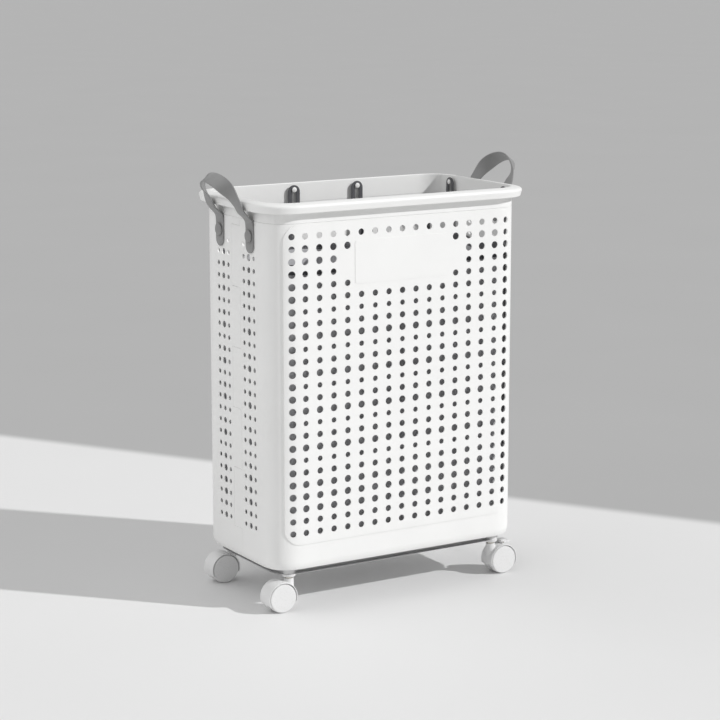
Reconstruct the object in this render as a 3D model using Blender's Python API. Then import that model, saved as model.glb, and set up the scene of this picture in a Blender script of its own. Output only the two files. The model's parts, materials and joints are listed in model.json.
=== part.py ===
"""Laundry sorter on wheels.

Two perforated half shells meet in a castellated seam on the end walls. A rolled rim frame ties
them at the top and a base tray at the bottom. Four twin-wheel casters stand under the tray, a
riveted strap handle sits on each end, and two open liner bags hang on pegs inside.

X runs along the length, -Y is the front, +Z is up. The origin is on the floor, under the
middle. The perforations of the half shells are left to the fine surface model.
"""

import math

import bmesh
import bpy
from mathutils import Matrix, Vector

# Overall sizes, metres
BODY_LENGTH = 0.458
BODY_DEPTH = 0.242
BODY_HEIGHT = 0.579
WALL = 0.0026
CORNER = 0.052
CORNER_POWER = 2.5
CORNER_STEPS = 6
GAP = 0.0003

# Casters: wheels under a hood, on a stem that stands in a sleeve
WHEEL_RADIUS = 0.0235
WHEEL_CLEARANCE = 0.0007
CASTER_WIDTH = 0.0305
TRAIL = WHEEL_RADIUS - 0.00575
CORE_THICK = 0.006
CORE_RIM = 0.0055
CORE_SHORT = 3.0
HOOD_THICK = 0.0013
HOOD_RADIUS = WHEEL_RADIUS + WHEEL_CLEARANCE + HOOD_THICK
HOOD_START = -18.0
HOOD_END = 205.0
AXLE_RADIUS = 0.0025
AXLE_END = 0.0026
AXLE_COVER = 0.0019
STEM_RADIUS = 0.004
NECK_WALL = 0.0035
NECK_RISE = 0.0025
NECK_TOP = WHEEL_RADIUS + HOOD_RADIUS + NECK_RISE
STEM_SEAT = NECK_TOP - 0.0067
COLLAR_WIDTH = 0.0025
COLLAR_THICK = 0.0025
SLEEVE_RADIUS = STEM_RADIUS + GAP + 0.0017
SLEEVE_FLANGE_WIDTH = 0.0020
SLEEVE_FLANGE = 0.0014

# Underside: tray, its ribs, and the bosses that take the sleeves
BASE_BOTTOM = NECK_TOP + 0.0145
BOTTOM_RADIUS = 0.026
BOTTOM_STEPS = 4
TRAY_THICK = 0.003
TRAY_LIP = 0.007
RIB_THICK = 0.0022
RIB_HEIGHT = 0.011
BOSS_RADIUS = SLEEVE_RADIUS + GAP + 0.0037
BOSS_TOP = BASE_BOTTOM + 0.020
STEM_X = BODY_LENGTH / 2 - 0.037
STEM_Y = BODY_DEPTH / 2 - 0.0255

# Rim frame
RIM_TOP = BASE_BOTTOM + BODY_HEIGHT
RIM_BAND = 0.032
RIM_JOINT_Z = RIM_TOP - RIM_BAND
RIM_OVERHANG = 0.0155
RIM_SKIRT = 0.0155
RIM_THICK = 0.003

# Castellated seam: fingers of the front shell that reach back past the middle
SEAM_REACH = 0.0135
FINGER_HEIGHT = 0.097
FINGER_DROP = 0.0437

# Pegs that the bags hang on
PEG_RADIUS = 0.0025
PEG_HEAD_RADIUS = 0.0046
PEG_HEAD_THICK = 0.0018
PEG_Z = RIM_TOP - 0.011
PEG_END_Y = BODY_DEPTH / 2 - 0.043
PEG_SIDE_X = 0.060

# Liner bags
BAG_THICK = 0.0016
BAG_CLEARANCE = 0.004
BAG_SPACING = 0.004
BAG_BOTTOM = BOSS_TOP + 0.0035
BAG_BOTTOM_CHAMFER = 0.006
BAG_TOP = RIM_TOP - 0.093
BAG_INNER_CORNER = 0.022
LOOP_WIDTH = 0.022
LOOP_GAP = 0.007
LOOP_BAND = 0.0047
LOOP_OVERLAP = 0.018
HEM_ABOVE = 0.002

# Brake levers on the two right-hand casters
LEVER_PIVOT_X = 0.003
LEVER_LIFT = 0.0019
LEVER_SOLE = 0.0010
LEVER_THICK = 0.0026
LEVER_WIDTH = 0.012
LEVER_HEEL = 0.0035
BLOCK_LENGTH = 0.0105
BLOCK_HEIGHT = 0.0058
TAB_LENGTH = 0.0095
LUG_THICK = 0.0018
LUG_LENGTH = 0.004
PIN_RADIUS = 0.0012

# Strap handles and their buttons
STRAP_WIDTH = 0.024
STRAP_THICK = 0.0025
BUTTON_Y = BODY_DEPTH / 2 - 0.07225
BUTTON_Z = RIM_TOP - 0.056
BUTTON_RADIUS = 0.0100
BUTTON_THICK = 0.0032
SHANK_RADIUS = 0.0032
WASHER_RADIUS = 0.0075
WASHER_THICK = 0.0016
TAB_BELOW = 0.0265
HANDLE_HINGE_Z = BUTTON_Z + BUTTON_RADIUS + 0.005
HANDLE_HINGE_GAP = 0.0013
STRAP_STANDOFF = 0.0009
ARCH_REACH = 0.0345
ARCH_RISE = 0.036
STRAP_STEPS = 26

CASTERS = {
    "front_left": (-1, -1),
    "front_right": (1, -1),
    "rear_left": (-1, 1),
    "rear_right": (1, 1),
}


# ---------------------------------------------------------------- materials and objects


def material(name, rgb, roughness, metallic=0.0):
    made = bpy.data.materials.new(name)
    made.use_nodes = True
    shader = made.node_tree.nodes["Principled BSDF"]
    shader.inputs["Base Color"].default_value = (*rgb, 1.0)
    shader.inputs["Roughness"].default_value = roughness
    shader.inputs["Metallic"].default_value = metallic
    return made


def new_object(name, bm, finish=None, cutter=False, smooth_angle=32.0):
    """An object from a bmesh, its faces pointing out. A cutter stays out of the model."""
    bmesh.ops.recalc_face_normals(bm, faces=bm.faces)
    mesh = bpy.data.meshes.new(name)
    bm.to_mesh(mesh)
    bm.free()
    obj = bpy.data.objects.new(name, mesh)
    bpy.context.scene.collection.objects.link(obj)
    if finish:
        mesh.materials.append(finish)
    if cutter:
        obj.hide_render = True
        obj.display_type = "WIRE"
    else:
        mesh.shade_smooth()
        mesh.set_sharp_from_angle(angle=math.radians(smooth_angle))
    return obj


def boolean(obj, other, operation):
    step = obj.modifiers.new(f"{operation.lower()} {other.name}", "BOOLEAN")
    step.object = other
    step.operation = operation
    step.solver = "EXACT"


def hang_on(parent_name, location, *pieces):
    """Puts the pieces under an empty that stands on their joint's axis."""
    pivot = bpy.data.objects.new(parent_name, None)
    pivot.location = location
    bpy.context.scene.collection.objects.link(pivot)
    for piece in pieces:
        piece.parent = pivot
        piece.matrix_parent_inverse = Matrix.Translation(-Vector(location))


# ---------------------------------------------------------------- shapes


def rounded_outline(half_x, half_y, corners, steps=CORNER_STEPS):
    """Counter-clockwise outline. Its corners, from +X+Y on, are superellipse quarters."""
    points = []
    signs = ((1, 1), (-1, 1), (-1, -1), (1, -1))
    for quarter, ((sx, sy), radius) in enumerate(zip(signs, corners)):
        for step in range(steps + 1):
            turn = math.radians(90 * step / steps)
            if quarter % 2:
                turn = math.pi / 2 - turn
            along = abs(math.cos(turn)) ** (2 / CORNER_POWER)
            across = abs(math.sin(turn)) ** (2 / CORNER_POWER)
            points.append(
                (sx * (half_x - radius + radius * along), sy * (half_y - radius + radius * across))
            )
    return points


def body_ring(outset, z):
    """The body's outline moved out by outset, at height z."""
    corner = max(CORNER + outset, 0.35 * CORNER)
    outline = rounded_outline(BODY_LENGTH / 2 + outset, BODY_DEPTH / 2 + outset, (corner,) * 4)
    return [(x, y, z) for x, y in outline]


def loft(rings, wrap=False):
    """A closed solid through rings of equal length: capped at its ends, or wrapped to a tube."""
    bm = bmesh.new()
    loops = [[bm.verts.new(point) for point in ring] for ring in rings]
    count = len(loops[0])
    pairs = list(zip(loops, loops[1:]))
    if wrap:
        pairs.append((loops[-1], loops[0]))
    for lower, upper in pairs:
        for k in range(count):
            after = (k + 1) % count
            bm.faces.new((lower[k], lower[after], upper[after], upper[k]))
    if not wrap:
        bm.faces.new(loops[0])
        bm.faces.new(loops[-1])
    return bm


def turned(profile, segments, matrix=None):
    """A solid of revolution about Z from (radius, height) points that start and end at radius 0,
    or that form a closed loop clear of the axis."""
    bm = bmesh.new()
    closed = profile[0][0] > 0
    rings = []
    for radius, height in profile:
        if radius == 0:
            rings.append([bm.verts.new((0, 0, height))])
            continue
        turns = (2 * math.pi * k / segments for k in range(segments))
        rings.append(
            [bm.verts.new((radius * math.cos(t), radius * math.sin(t), height)) for t in turns]
        )
    pairs = list(zip(rings, rings[1:]))
    if closed:
        pairs.append((rings[-1], rings[0]))
    for first, second in pairs:
        for k in range(segments):
            after = (k + 1) % segments
            corners = [first[k % len(first)], first[after % len(first)]]
            corners += [second[after % len(second)], second[k % len(second)]]
            bm.faces.new(list(dict.fromkeys(corners)))
    if matrix:
        bm.transform(matrix)
    return bm


def along(axis, place=(0, 0, 0)):
    """Turns a shape made along Z to lie along axis, then moves it to place."""
    turn = Vector((0, 0, 1)).rotation_difference(Vector(axis)).to_matrix().to_4x4()
    return Matrix.Translation(place) @ turn


def rod(radius, length, axis, start, segments=16):
    """A plain round bar from start along axis."""
    profile = [(0, 0), (radius, 0), (radius, length), (0, length)]
    return turned(profile, segments, along(axis, start))


def block(low, high):
    bm = bmesh.new()
    bmesh.ops.create_cube(bm, size=1)
    size = Vector(high) - Vector(low)
    middle = (Vector(high) + Vector(low)) / 2
    bm.transform(Matrix.Translation(middle) @ Matrix.Diagonal((*size, 1)))
    return bm


def prism(outline, low, high, place):
    """An outline extruded from low to high; place(a, b, h) gives each point in space."""
    return loft([[place(a, b, h) for a, b in outline] for h in (low, high)])


def arc(radius, start, end, steps, centre=(0, 0)):
    """Points on an arc, angles in degrees."""
    turns = (math.radians(start + (end - start) * k / steps) for k in range(steps + 1))
    return [(centre[0] + radius * math.cos(t), centre[1] + radius * math.sin(t)) for t in turns]


# ---------------------------------------------------------------- body


def shell_profile():
    """The half shells' wall as (outset, z): up the outside, down the inside."""
    centre = (-BOTTOM_RADIUS, BASE_BOTTOM + BOTTOM_RADIUS)
    foot = BOTTOM_RADIUS - TRAY_THICK - GAP
    outer_turn = math.degrees(math.asin(foot / BOTTOM_RADIUS))
    inner_turn = math.degrees(math.asin(foot / (BOTTOM_RADIUS - WALL)))
    top = RIM_JOINT_Z - GAP / 2
    outer = arc(BOTTOM_RADIUS, -outer_turn, 0, BOTTOM_STEPS, centre)
    inner = arc(BOTTOM_RADIUS - WALL, 0, -inner_turn, BOTTOM_STEPS, centre)
    return outer + [(0, top), (-WALL, top)] + inner


def finger_bottoms():
    """Heights where the seam's fingers begin, lowest first: as many as the straight wall takes."""
    top = RIM_TOP - FINGER_DROP
    room = top - BASE_BOTTOM - BOTTOM_RADIUS
    count = int((room / FINGER_HEIGHT + 1) / 2)
    return [top - (2 * k + 1) * FINGER_HEIGHT for k in reversed(range(count))]


def seam_cutter(name, keeps_front):
    """A castellated prism that takes away the half of the body behind or before the seam."""
    side = -1 if keeps_front else 1
    base_y = -SEAM_REACH + side * GAP / 2
    tip_y = SEAM_REACH + side * GAP / 2
    far_y = -side * BODY_DEPTH
    outline = [(base_y, 0)]
    for bottom in finger_bottoms():
        low = bottom - side * GAP / 2
        high = bottom + FINGER_HEIGHT + side * GAP / 2
        outline += [(base_y, low), (tip_y, low), (tip_y, high), (base_y, high)]
    outline += [(base_y, RIM_TOP), (far_y, RIM_TOP), (far_y, 0)]
    reach = BODY_LENGTH
    cutter = prism(outline, -reach, reach, lambda y, z, x: (x, y, z))
    return new_object(name, cutter, cutter=True)


def end_hole_cutter(name, side_y):
    """A long rod through both end walls where the handle buttons' shanks pass."""
    start = (-BODY_LENGTH, side_y * BUTTON_Y, BUTTON_Z)
    rod_bm = rod(SHANK_RADIUS + GAP, 2 * BODY_LENGTH, (1, 0, 0), start)
    return new_object(name, rod_bm, cutter=True)


def make_shells(plastic):
    for name, side_y in (("front_shell", -1), ("rear_shell", 1)):
        ring = loft([body_ring(outset, z) for outset, z in shell_profile()], wrap=True)
        shell = new_object(name, ring, plastic)
        for side_x in (-1, 1):
            foot = (side_x * STEM_X, side_y * STEM_Y, BASE_BOTTOM)
            room = rod(BOSS_RADIUS + GAP, BOSS_TOP + GAP - BASE_BOTTOM, (0, 0, 1), foot, 20)
            room = new_object(f"{name}_boss_room_{side_x}", room, cutter=True)
            boolean(shell, room, "DIFFERENCE")
        boolean(shell, seam_cutter(f"{name}_seam_cutter", side_y < 0), "DIFFERENCE")
        boolean(shell, end_hole_cutter(f"{name}_button_cutter", side_y), "DIFFERENCE")


def rim_profile():
    """Wall, flange and skirt of the rim frame as (outset, z)."""
    skirt_in = RIM_OVERHANG - RIM_THICK
    skirt_foot = RIM_TOP - RIM_SKIRT
    under = RIM_TOP - RIM_THICK - 0.001
    return [
        (0, RIM_JOINT_Z + GAP / 2),
        (0, under - 0.0025),
        (0.0008, under - 0.0008),
        (0.0025, under),
        (skirt_in, under),
        (skirt_in, skirt_foot),
        (RIM_OVERHANG, skirt_foot),
        (RIM_OVERHANG, RIM_TOP - 0.0040),
        (RIM_OVERHANG - 0.0010, RIM_TOP - 0.0020),
        (RIM_OVERHANG - 0.0035, RIM_TOP - 0.0009),
        (0.0, RIM_TOP),
        (-WALL + 0.0007, RIM_TOP - 0.0003),
        (-WALL, RIM_TOP - 0.0015),
        (-WALL, RIM_JOINT_Z + GAP / 2),
    ]


def wall_pegs():
    """(name, root on the inner wall, inward direction) for the eight pegs."""
    end_x = BODY_LENGTH / 2 - WALL
    side_y = BODY_DEPTH / 2 - WALL
    pegs = []
    for sx in (-1, 1):
        for sy in (-1, 1):
            pegs.append((f"end_{sx}_{sy}", (sx * end_x, sy * PEG_END_Y, PEG_Z), (-sx, 0, 0)))
            pegs.append((f"side_{sx}_{sy}", (sx * PEG_SIDE_X, sy * side_y, PEG_Z), (0, -sy, 0)))
    return pegs


def make_rim(plastic):
    ring = loft([body_ring(outset, z) for outset, z in rim_profile()], wrap=True)
    rim = new_object("rim_frame", ring, plastic)
    shank = BAG_CLEARANCE + BAG_THICK + 2 * GAP
    root = -WALL / 2
    for name, place, inward in wall_pegs():
        profile = [
            (0, root),
            (PEG_RADIUS, root),
            (PEG_RADIUS, shank),
            (PEG_HEAD_RADIUS, shank),
            (PEG_HEAD_RADIUS, shank + PEG_HEAD_THICK),
            (0, shank + PEG_HEAD_THICK),
        ]
        peg = turned(profile, 12, along(inward, place))
        boolean(rim, new_object(f"peg_{name}", peg, cutter=True), "UNION")


def make_base_tray(plastic):
    """Floor plate with a locating lip, ribs and four bosses for the caster sleeves."""
    centre = (-BOTTOM_RADIUS, BASE_BOTTOM + BOTTOM_RADIUS)
    edge_turn = math.degrees(math.asin((BOTTOM_RADIUS - TRAY_THICK) / BOTTOM_RADIUS))
    floor = BASE_BOTTOM + TRAY_THICK
    lip_out = -BOTTOM_RADIUS
    outer = arc(BOTTOM_RADIUS, -90, -edge_turn, 3, centre)
    outer = [(outset - 2 * GAP, z) for outset, z in outer]
    profile = outer + [
        (lip_out, floor),
        (lip_out, floor + TRAY_LIP),
        (lip_out - RIB_THICK, floor + TRAY_LIP),
        (lip_out - RIB_THICK, floor),
    ]
    tray = new_object("base_tray", loft([body_ring(o, z) for o, z in profile]), plastic)
    half_x = BODY_LENGTH / 2 - BOTTOM_RADIUS - RIB_THICK / 2
    half_y = BODY_DEPTH / 2 - BOTTOM_RADIUS - RIB_THICK / 2
    low, high = floor - TRAY_THICK / 2, floor + RIB_HEIGHT
    lines = [((-half_x, -RIB_THICK / 2), (half_x, RIB_THICK / 2))]
    for x in (-half_x / 2, 0, half_x / 2):
        lines.append(((x - RIB_THICK / 2, -half_y), (x + RIB_THICK / 2, half_y)))
    for k, (a, b) in enumerate(lines):
        rib = new_object(f"tray_rib_{k}", block((*a, low), (*b, high)), cutter=True)
        boolean(tray, rib, "UNION")
    boss_foot = NECK_TOP + COLLAR_THICK + SLEEVE_FLANGE + 3 * GAP
    bore_top = BOSS_TOP - TRAY_THICK / 2
    for name, (sx, sy) in CASTERS.items():
        foot = (sx * STEM_X, sy * STEM_Y, boss_foot)
        boss = rod(BOSS_RADIUS, BOSS_TOP - boss_foot, (0, 0, 1), foot, 20)
        boolean(tray, new_object(f"tray_boss_{name}", boss, cutter=True), "UNION")
        below = (foot[0], foot[1], boss_foot - BOSS_RADIUS)
        bore = rod(SLEEVE_RADIUS + GAP, bore_top - below[2], (0, 0, 1), below, 20)
        boolean(tray, new_object(f"tray_bore_{name}", bore, cutter=True), "DIFFERENCE")


# ---------------------------------------------------------------- bags


def make_bag(name, side_x, cloth):
    """An open cup of fabric with four webbing loops that reach up over the pegs."""
    inner_wall_x = BODY_LENGTH / 2 - WALL
    inner_wall_y = BODY_DEPTH / 2 - WALL
    far_x = inner_wall_x - BAG_CLEARANCE
    near_x = BAG_SPACING / 2
    half_x = (far_x - near_x) / 2
    half_y = inner_wall_y - BAG_CLEARANCE
    middle_x = side_x * (far_x + near_x) / 2
    outer_corner = CORNER - WALL - BAG_CLEARANCE

    def ring(inset, z):
        big, small = outer_corner - inset, BAG_INNER_CORNER - inset
        corners = (big, small, small, big) if side_x > 0 else (small, big, big, small)
        outline = rounded_outline(half_x - inset, half_y - inset, corners)
        return [(middle_x + x, y, z) for x, y in outline]

    rings = [
        ring(BAG_BOTTOM_CHAMFER, BAG_BOTTOM),
        ring(0, BAG_BOTTOM + BAG_BOTTOM_CHAMFER),
        ring(0, BAG_TOP),
        ring(BAG_THICK, BAG_TOP),
        ring(BAG_THICK, BAG_BOTTOM + BAG_BOTTOM_CHAMFER + BAG_THICK),
        ring(BAG_BOTTOM_CHAMFER, BAG_BOTTOM + BAG_THICK),
    ]
    bag = new_object(name, loft(rings), cloth)
    for peg_name, place, inward in wall_pegs():
        if place[0] * side_x > 0:
            add_loop(bag, f"{name}_{peg_name}", place, inward)


def add_loop(bag, name, place, inward):
    """A webbing loop: two legs rise from the bag's hem, and the band on top lies over the peg."""
    crossbar = PEG_Z + PEG_RADIUS + GAP
    inward = Vector(inward)
    sideways = Vector((inward.y, inward.x, 0))
    face = Vector(place) + inward * BAG_CLEARANCE
    face.z = 0

    def slab(width, low_z, high_z, spare):
        start = face - inward * spare - sideways * width / 2
        end = face + inward * (BAG_THICK + spare) + sideways * width / 2
        low = [min(a, b) for a, b in zip(start.xy, end.xy)]
        high = [max(a, b) for a, b in zip(start.xy, end.xy)]
        return block((*low, low_z), (*high, high_z))

    band = slab(LOOP_WIDTH, BAG_TOP - LOOP_OVERLAP, crossbar + LOOP_BAND, 0)
    boolean(bag, new_object(f"loop_{name}", band, cutter=True), "UNION")
    slot = slab(LOOP_GAP, BAG_TOP + HEM_ABOVE, crossbar, BAG_THICK)
    boolean(bag, new_object(f"loop_slot_{name}", slot, cutter=True), "DIFFERENCE")


# ---------------------------------------------------------------- handles


def strap_route(side_y):
    """Centreline of one leg of the strap, from its end to the arch top, as (outset, y, z)."""
    on_wall = GAP + STRAP_THICK / 2
    past_rim = RIM_OVERHANG + STRAP_STANDOFF + STRAP_THICK / 2
    y = side_y * BUTTON_Y
    return [
        (on_wall, y, HANDLE_HINGE_Z + HANDLE_HINGE_GAP),
        (on_wall + 0.0028, y, HANDLE_HINGE_Z + 0.010),
        (past_rim - 0.0020, y, RIM_TOP - RIM_SKIRT - 0.0035),
        (past_rim + 0.0055, 0.97 * y, RIM_TOP - 0.004),
        (RIM_OVERHANG + 0.60 * ARCH_REACH, 0.80 * y, RIM_TOP + 0.46 * ARCH_RISE),
        (RIM_OVERHANG + 0.90 * ARCH_REACH, 0.42 * y, RIM_TOP + 0.87 * ARCH_RISE),
        (RIM_OVERHANG + ARCH_REACH, 0, RIM_TOP + ARCH_RISE),
    ]


def smooth_path(points, steps):
    """Points and tangents, evenly stepped along a Catmull-Rom curve through the given points."""
    padded = [2 * points[0] - points[1], *points, 2 * points[-1] - points[-2]]
    fine = []
    for a, b, c, d in zip(padded, padded[1:], padded[2:], padded[3:]):
        for k in range(20):
            t = k / 20
            bend = (2 * a - 5 * b + 4 * c - d) * t * t + (3 * b - a - 3 * c + d) * t**3
            fine.append(0.5 * (2 * b + (c - a) * t + bend))
    fine.append(points[-1])
    lengths = [0.0]
    for a, b in zip(fine, fine[1:]):
        lengths.append(lengths[-1] + (b - a).length)
    path = []
    index = 0
    for step in range(steps + 1):
        goal = lengths[-1] * step / steps
        while index < len(fine) - 2 and lengths[index + 1] < goal:
            index += 1
        share = (goal - lengths[index]) / (lengths[index + 1] - lengths[index])
        point = fine[index].lerp(fine[index + 1], min(share, 1.0))
        path.append((point, (fine[index + 1] - fine[index]).normalized(), step / steps))
    return path


def make_handle(side_x, rubber):
    """The strap's arch, from the hinge line of one leg over to the other."""
    side = "left" if side_x < 0 else "right"
    wall = BODY_LENGTH / 2

    def place(point):
        outset, y, z = point
        return Vector((side_x * (wall + outset), y, z))

    rising = [place(p) for p in strap_route(-1)]
    falling = [place(p) for p in strap_route(1)]
    path = smooth_path(rising + falling[-2::-1], STRAP_STEPS)
    outward = Vector((side_x, 0, 0))
    core = Vector((side_x * (wall + RIM_OVERHANG), 0, RIM_TOP - RIM_SKIRT))
    rings = []
    for point, tangent, share in path:
        rise = max(0.0, (1 - abs(2 * share - 1) - 0.34) / 0.66)
        ease = rise * rise * (3 - 2 * rise)
        face = outward.lerp((point - core).normalized(), ease)
        face = (face - tangent * face.dot(tangent)).normalized()
        across = tangent.cross(face) * STRAP_WIDTH / 2
        thick = face * STRAP_THICK / 2
        corners = (across + thick, -across + thick, -across - thick, across - thick)
        rings.append([point + corner for corner in corners])
    for ring, lift in ((rings[0], HANDLE_HINGE_GAP), (rings[-1], HANDLE_HINGE_GAP)):
        for corner in ring:
            corner.z = HANDLE_HINGE_Z + lift
    arch = new_object(f"strap_arch_{side}", loft(rings), rubber, smooth_angle=50)
    hinge_x = side_x * (wall + GAP + STRAP_THICK / 2)
    hang_on(f"handle_hinge_{side}", (hinge_x, 0, HANDLE_HINGE_Z), arch)


def make_strap_tab(side_x, side_y, rubber):
    """The strap's flat end below the hinge line, with its rounded tip and the shank's hole."""
    side = ("left" if side_x < 0 else "right") + ("_front" if side_y < 0 else "_rear")
    half = STRAP_WIDTH / 2
    y, tip = side_y * BUTTON_Y, BUTTON_Z - TAB_BELOW
    top = HANDLE_HINGE_Z - HANDLE_HINGE_GAP
    outline = arc(half, 180, 360, 8, (y, tip + half)) + [(y + half, top), (y - half, top)]
    low, high = sorted(side_x * (BODY_LENGTH / 2 + o) for o in (GAP, GAP + STRAP_THICK))
    tab = new_object(
        f"strap_tab_{side}", prism(outline, low, high, lambda a, b, x: (x, a, b)), rubber
    )
    start = (side_x * BODY_LENGTH / 2 - side_x * BUTTON_RADIUS, y, BUTTON_Z)
    hole = rod(SHANK_RADIUS + GAP, 2 * BUTTON_RADIUS, (side_x, 0, 0), start)
    boolean(tab, new_object(f"strap_tab_hole_{side}", hole, cutter=True), "DIFFERENCE")


def make_button(side_x, side_y, rubber):
    """A domed button with its shank through tab and wall, and the washer inside."""
    side = ("left" if side_x < 0 else "right") + ("_front" if side_y < 0 else "_rear")
    seat = 2 * GAP + STRAP_THICK
    back = -WALL - GAP
    profile = [
        (0, seat + BUTTON_THICK),
        (0.55 * BUTTON_RADIUS, seat + 0.97 * BUTTON_THICK),
        (0.86 * BUTTON_RADIUS, seat + 0.80 * BUTTON_THICK),
        (BUTTON_RADIUS, seat + 0.42 * BUTTON_THICK),
        (BUTTON_RADIUS, seat),
        (SHANK_RADIUS, seat),
        (SHANK_RADIUS, back),
        (WASHER_RADIUS, back),
        (WASHER_RADIUS, back - WASHER_THICK),
        (0, back - WASHER_THICK),
    ]
    place = (side_x * BODY_LENGTH / 2, side_y * BUTTON_Y, BUTTON_Z)
    new_object(f"button_{side}", turned(profile, 20, along((side_x, 0, 0), place)), rubber)


# ---------------------------------------------------------------- casters


def make_stem(name, x, y, steel):
    """Stem pin with its collar. It is fixed in the sleeve, and the housing turns on it."""
    collar = NECK_TOP + GAP
    top = BOSS_TOP - 2 * TRAY_THICK
    profile = [
        (0, STEM_SEAT + GAP),
        (STEM_RADIUS, STEM_SEAT + GAP),
        (STEM_RADIUS, collar),
        (STEM_RADIUS + COLLAR_WIDTH, collar),
        (STEM_RADIUS + COLLAR_WIDTH, collar + COLLAR_THICK),
        (STEM_RADIUS, collar + COLLAR_THICK),
        (STEM_RADIUS, top),
        (0, top),
    ]
    new_object(f"stem_{name}", turned(profile, 16, Matrix.Translation((x, y, 0))), steel)


def make_sleeve(name, x, y, plastic):
    """Socket sleeve pressed into the tray's boss, round the stem."""
    foot = NECK_TOP + COLLAR_THICK + 2 * GAP
    shoulder = foot + SLEEVE_FLANGE
    top = BOSS_TOP - TRAY_THICK
    bore = STEM_RADIUS + GAP
    profile = [
        (bore, foot),
        (SLEEVE_RADIUS + SLEEVE_FLANGE_WIDTH, foot),
        (SLEEVE_RADIUS + SLEEVE_FLANGE_WIDTH, shoulder),
        (SLEEVE_RADIUS, shoulder),
        (SLEEVE_RADIUS, top),
        (bore, top),
    ]
    new_object(f"sleeve_{name}", turned(profile, 16, Matrix.Translation((x, y, 0))), plastic)


def make_housing(name, stem_x, y, trail_side, braked, plastic):
    """Hood, core and neck of a twin-wheel caster, trailing towards trail_side along X."""
    hub_x = stem_x + trail_side * TRAIL
    half = CASTER_WIDTH / 2

    def place(a, b, across):
        return (hub_x + trail_side * a, y + across, WHEEL_RADIUS + b)

    # In the caster's own plane the stem is on the -a side and the hood runs over the top.
    neck_foot = WHEEL_RADIUS
    neck_radius = STEM_RADIUS + NECK_WALL
    neck = rod(neck_radius, NECK_TOP - neck_foot, (0, 0, 1), (stem_x, y, neck_foot), 20)
    housing = new_object(f"housing_{name}", neck, plastic)
    inner = HOOD_RADIUS - HOOD_THICK
    room = prism(arc(inner, 0, 350, 35), -half, half, place)
    boolean(housing, new_object(f"wheel_room_{name}", room, cutter=True), "DIFFERENCE")
    start, end = 180 - HOOD_END, 180 - HOOD_START
    hood = arc(HOOD_RADIUS, start, end, 26) + arc(inner, end, start, 26)
    hood = prism(hood, -half, half, place)
    boolean(housing, new_object(f"hood_{name}", hood, cutter=True), "UNION")
    # The core stops short of the hood's ends, so that no two faces lie in one plane.
    start, end = start + CORE_SHORT, end - CORE_SHORT
    reach = inner + HOOD_THICK / 2
    core = arc(reach, start, end, 26) + arc(WHEEL_RADIUS - CORE_RIM, end, start + 360, 12)
    core = prism(core, -CORE_THICK / 2, CORE_THICK / 2, place)
    boolean(housing, new_object(f"core_{name}", core, cutter=True), "UNION")
    if braked:
        add_brake(name, housing, place, plastic)
    top = NECK_TOP - STEM_SEAT + GAP
    bore = rod(STEM_RADIUS + GAP, top, (0, 0, 1), (stem_x, y, STEM_SEAT))
    boolean(housing, new_object(f"stem_bore_{name}", bore, cutter=True), "DIFFERENCE")
    start = (hub_x, y - CORE_THICK, WHEEL_RADIUS)
    axle_bore = rod(AXLE_RADIUS + GAP, 2 * CORE_THICK, (0, 1, 0), start)
    boolean(housing, new_object(f"axle_bore_{name}", axle_bore, cutter=True), "DIFFERENCE")
    return housing, (hub_x, y, WHEEL_RADIUS)


def add_brake(name, housing, place, plastic):
    """Two lugs on the hood, the pin through them and the foot lever between them."""
    pivot = (LEVER_PIVOT_X, HOOD_RADIUS + LEVER_LIFT)
    half = LEVER_WIDTH / 2
    lug_in = half + GAP
    low, high = pivot[0] - LUG_LENGTH / 2, pivot[0] + LUG_LENGTH / 2
    lug = [(low, HOOD_RADIUS - HOOD_THICK), (high, HOOD_RADIUS - HOOD_THICK)]
    lug += [(high, pivot[1] + LEVER_LIFT), (low, pivot[1] + LEVER_LIFT)]
    for side in (-1, 1):
        span = sorted((side * lug_in, side * (lug_in + LUG_THICK)))
        part = new_object(f"lug_{name}_{side}", prism(lug, *span, place), cutter=True)
        boolean(housing, part, "UNION")
    reach = lug_in + LUG_THICK
    hole = rod(PIN_RADIUS + GAP, 2 * reach + 4 * GAP, (0, 1, 0), place(*pivot, -reach - 2 * GAP), 12)
    hole = new_object(f"pin_hole_{name}", hole, cutter=True)
    boolean(housing, hole, "DIFFERENCE")
    heel, low = pivot[0] - LEVER_HEEL, pivot[1] - LEVER_SOLE
    block_end = heel + BLOCK_LENGTH
    tab_end = block_end + TAB_LENGTH
    outline = [
        (heel, low),
        (tab_end, low),
        (tab_end, low + LEVER_THICK),
        (block_end, low + LEVER_THICK),
        (block_end, low + BLOCK_HEIGHT),
        (heel, low + BLOCK_HEIGHT),
    ]
    lever = new_object(f"brake_lever_{name}", prism(outline, -half, half, place), plastic)
    boolean(lever, hole, "DIFFERENCE")
    pin = rod(PIN_RADIUS, 2 * reach, (0, 1, 0), place(*pivot, -reach), 12)
    new_object(f"brake_pin_{name}", pin, FINISH["steel"])
    hang_on(f"brake_pivot_{name}", place(*pivot, 0), lever)


def make_wheel(name, hub, side, plastic):
    """One wheel of a pair: crowned outer face, tread, flat inner face, blind axle bore."""
    outer = CASTER_WIDTH / 2 - 0.0001
    inner = CORE_THICK / 2 + GAP
    bore = AXLE_RADIUS + GAP
    bore_end = outer - AXLE_COVER
    profile = [
        (0, outer),
        (0.55 * WHEEL_RADIUS, outer - 0.0001),
        (0.88 * WHEEL_RADIUS, outer - 0.0006),
        (0.975 * WHEEL_RADIUS, outer - 0.0018),
        (WHEEL_RADIUS, outer - 0.0038),
        (WHEEL_RADIUS, inner + 0.0012),
        (0.96 * WHEEL_RADIUS, inner),
        (bore, inner),
        (bore, bore_end),
        (0, bore_end),
    ]
    wheel = turned(profile, 28, along((0, side, 0), hub))
    return new_object(name, wheel, plastic)


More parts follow.
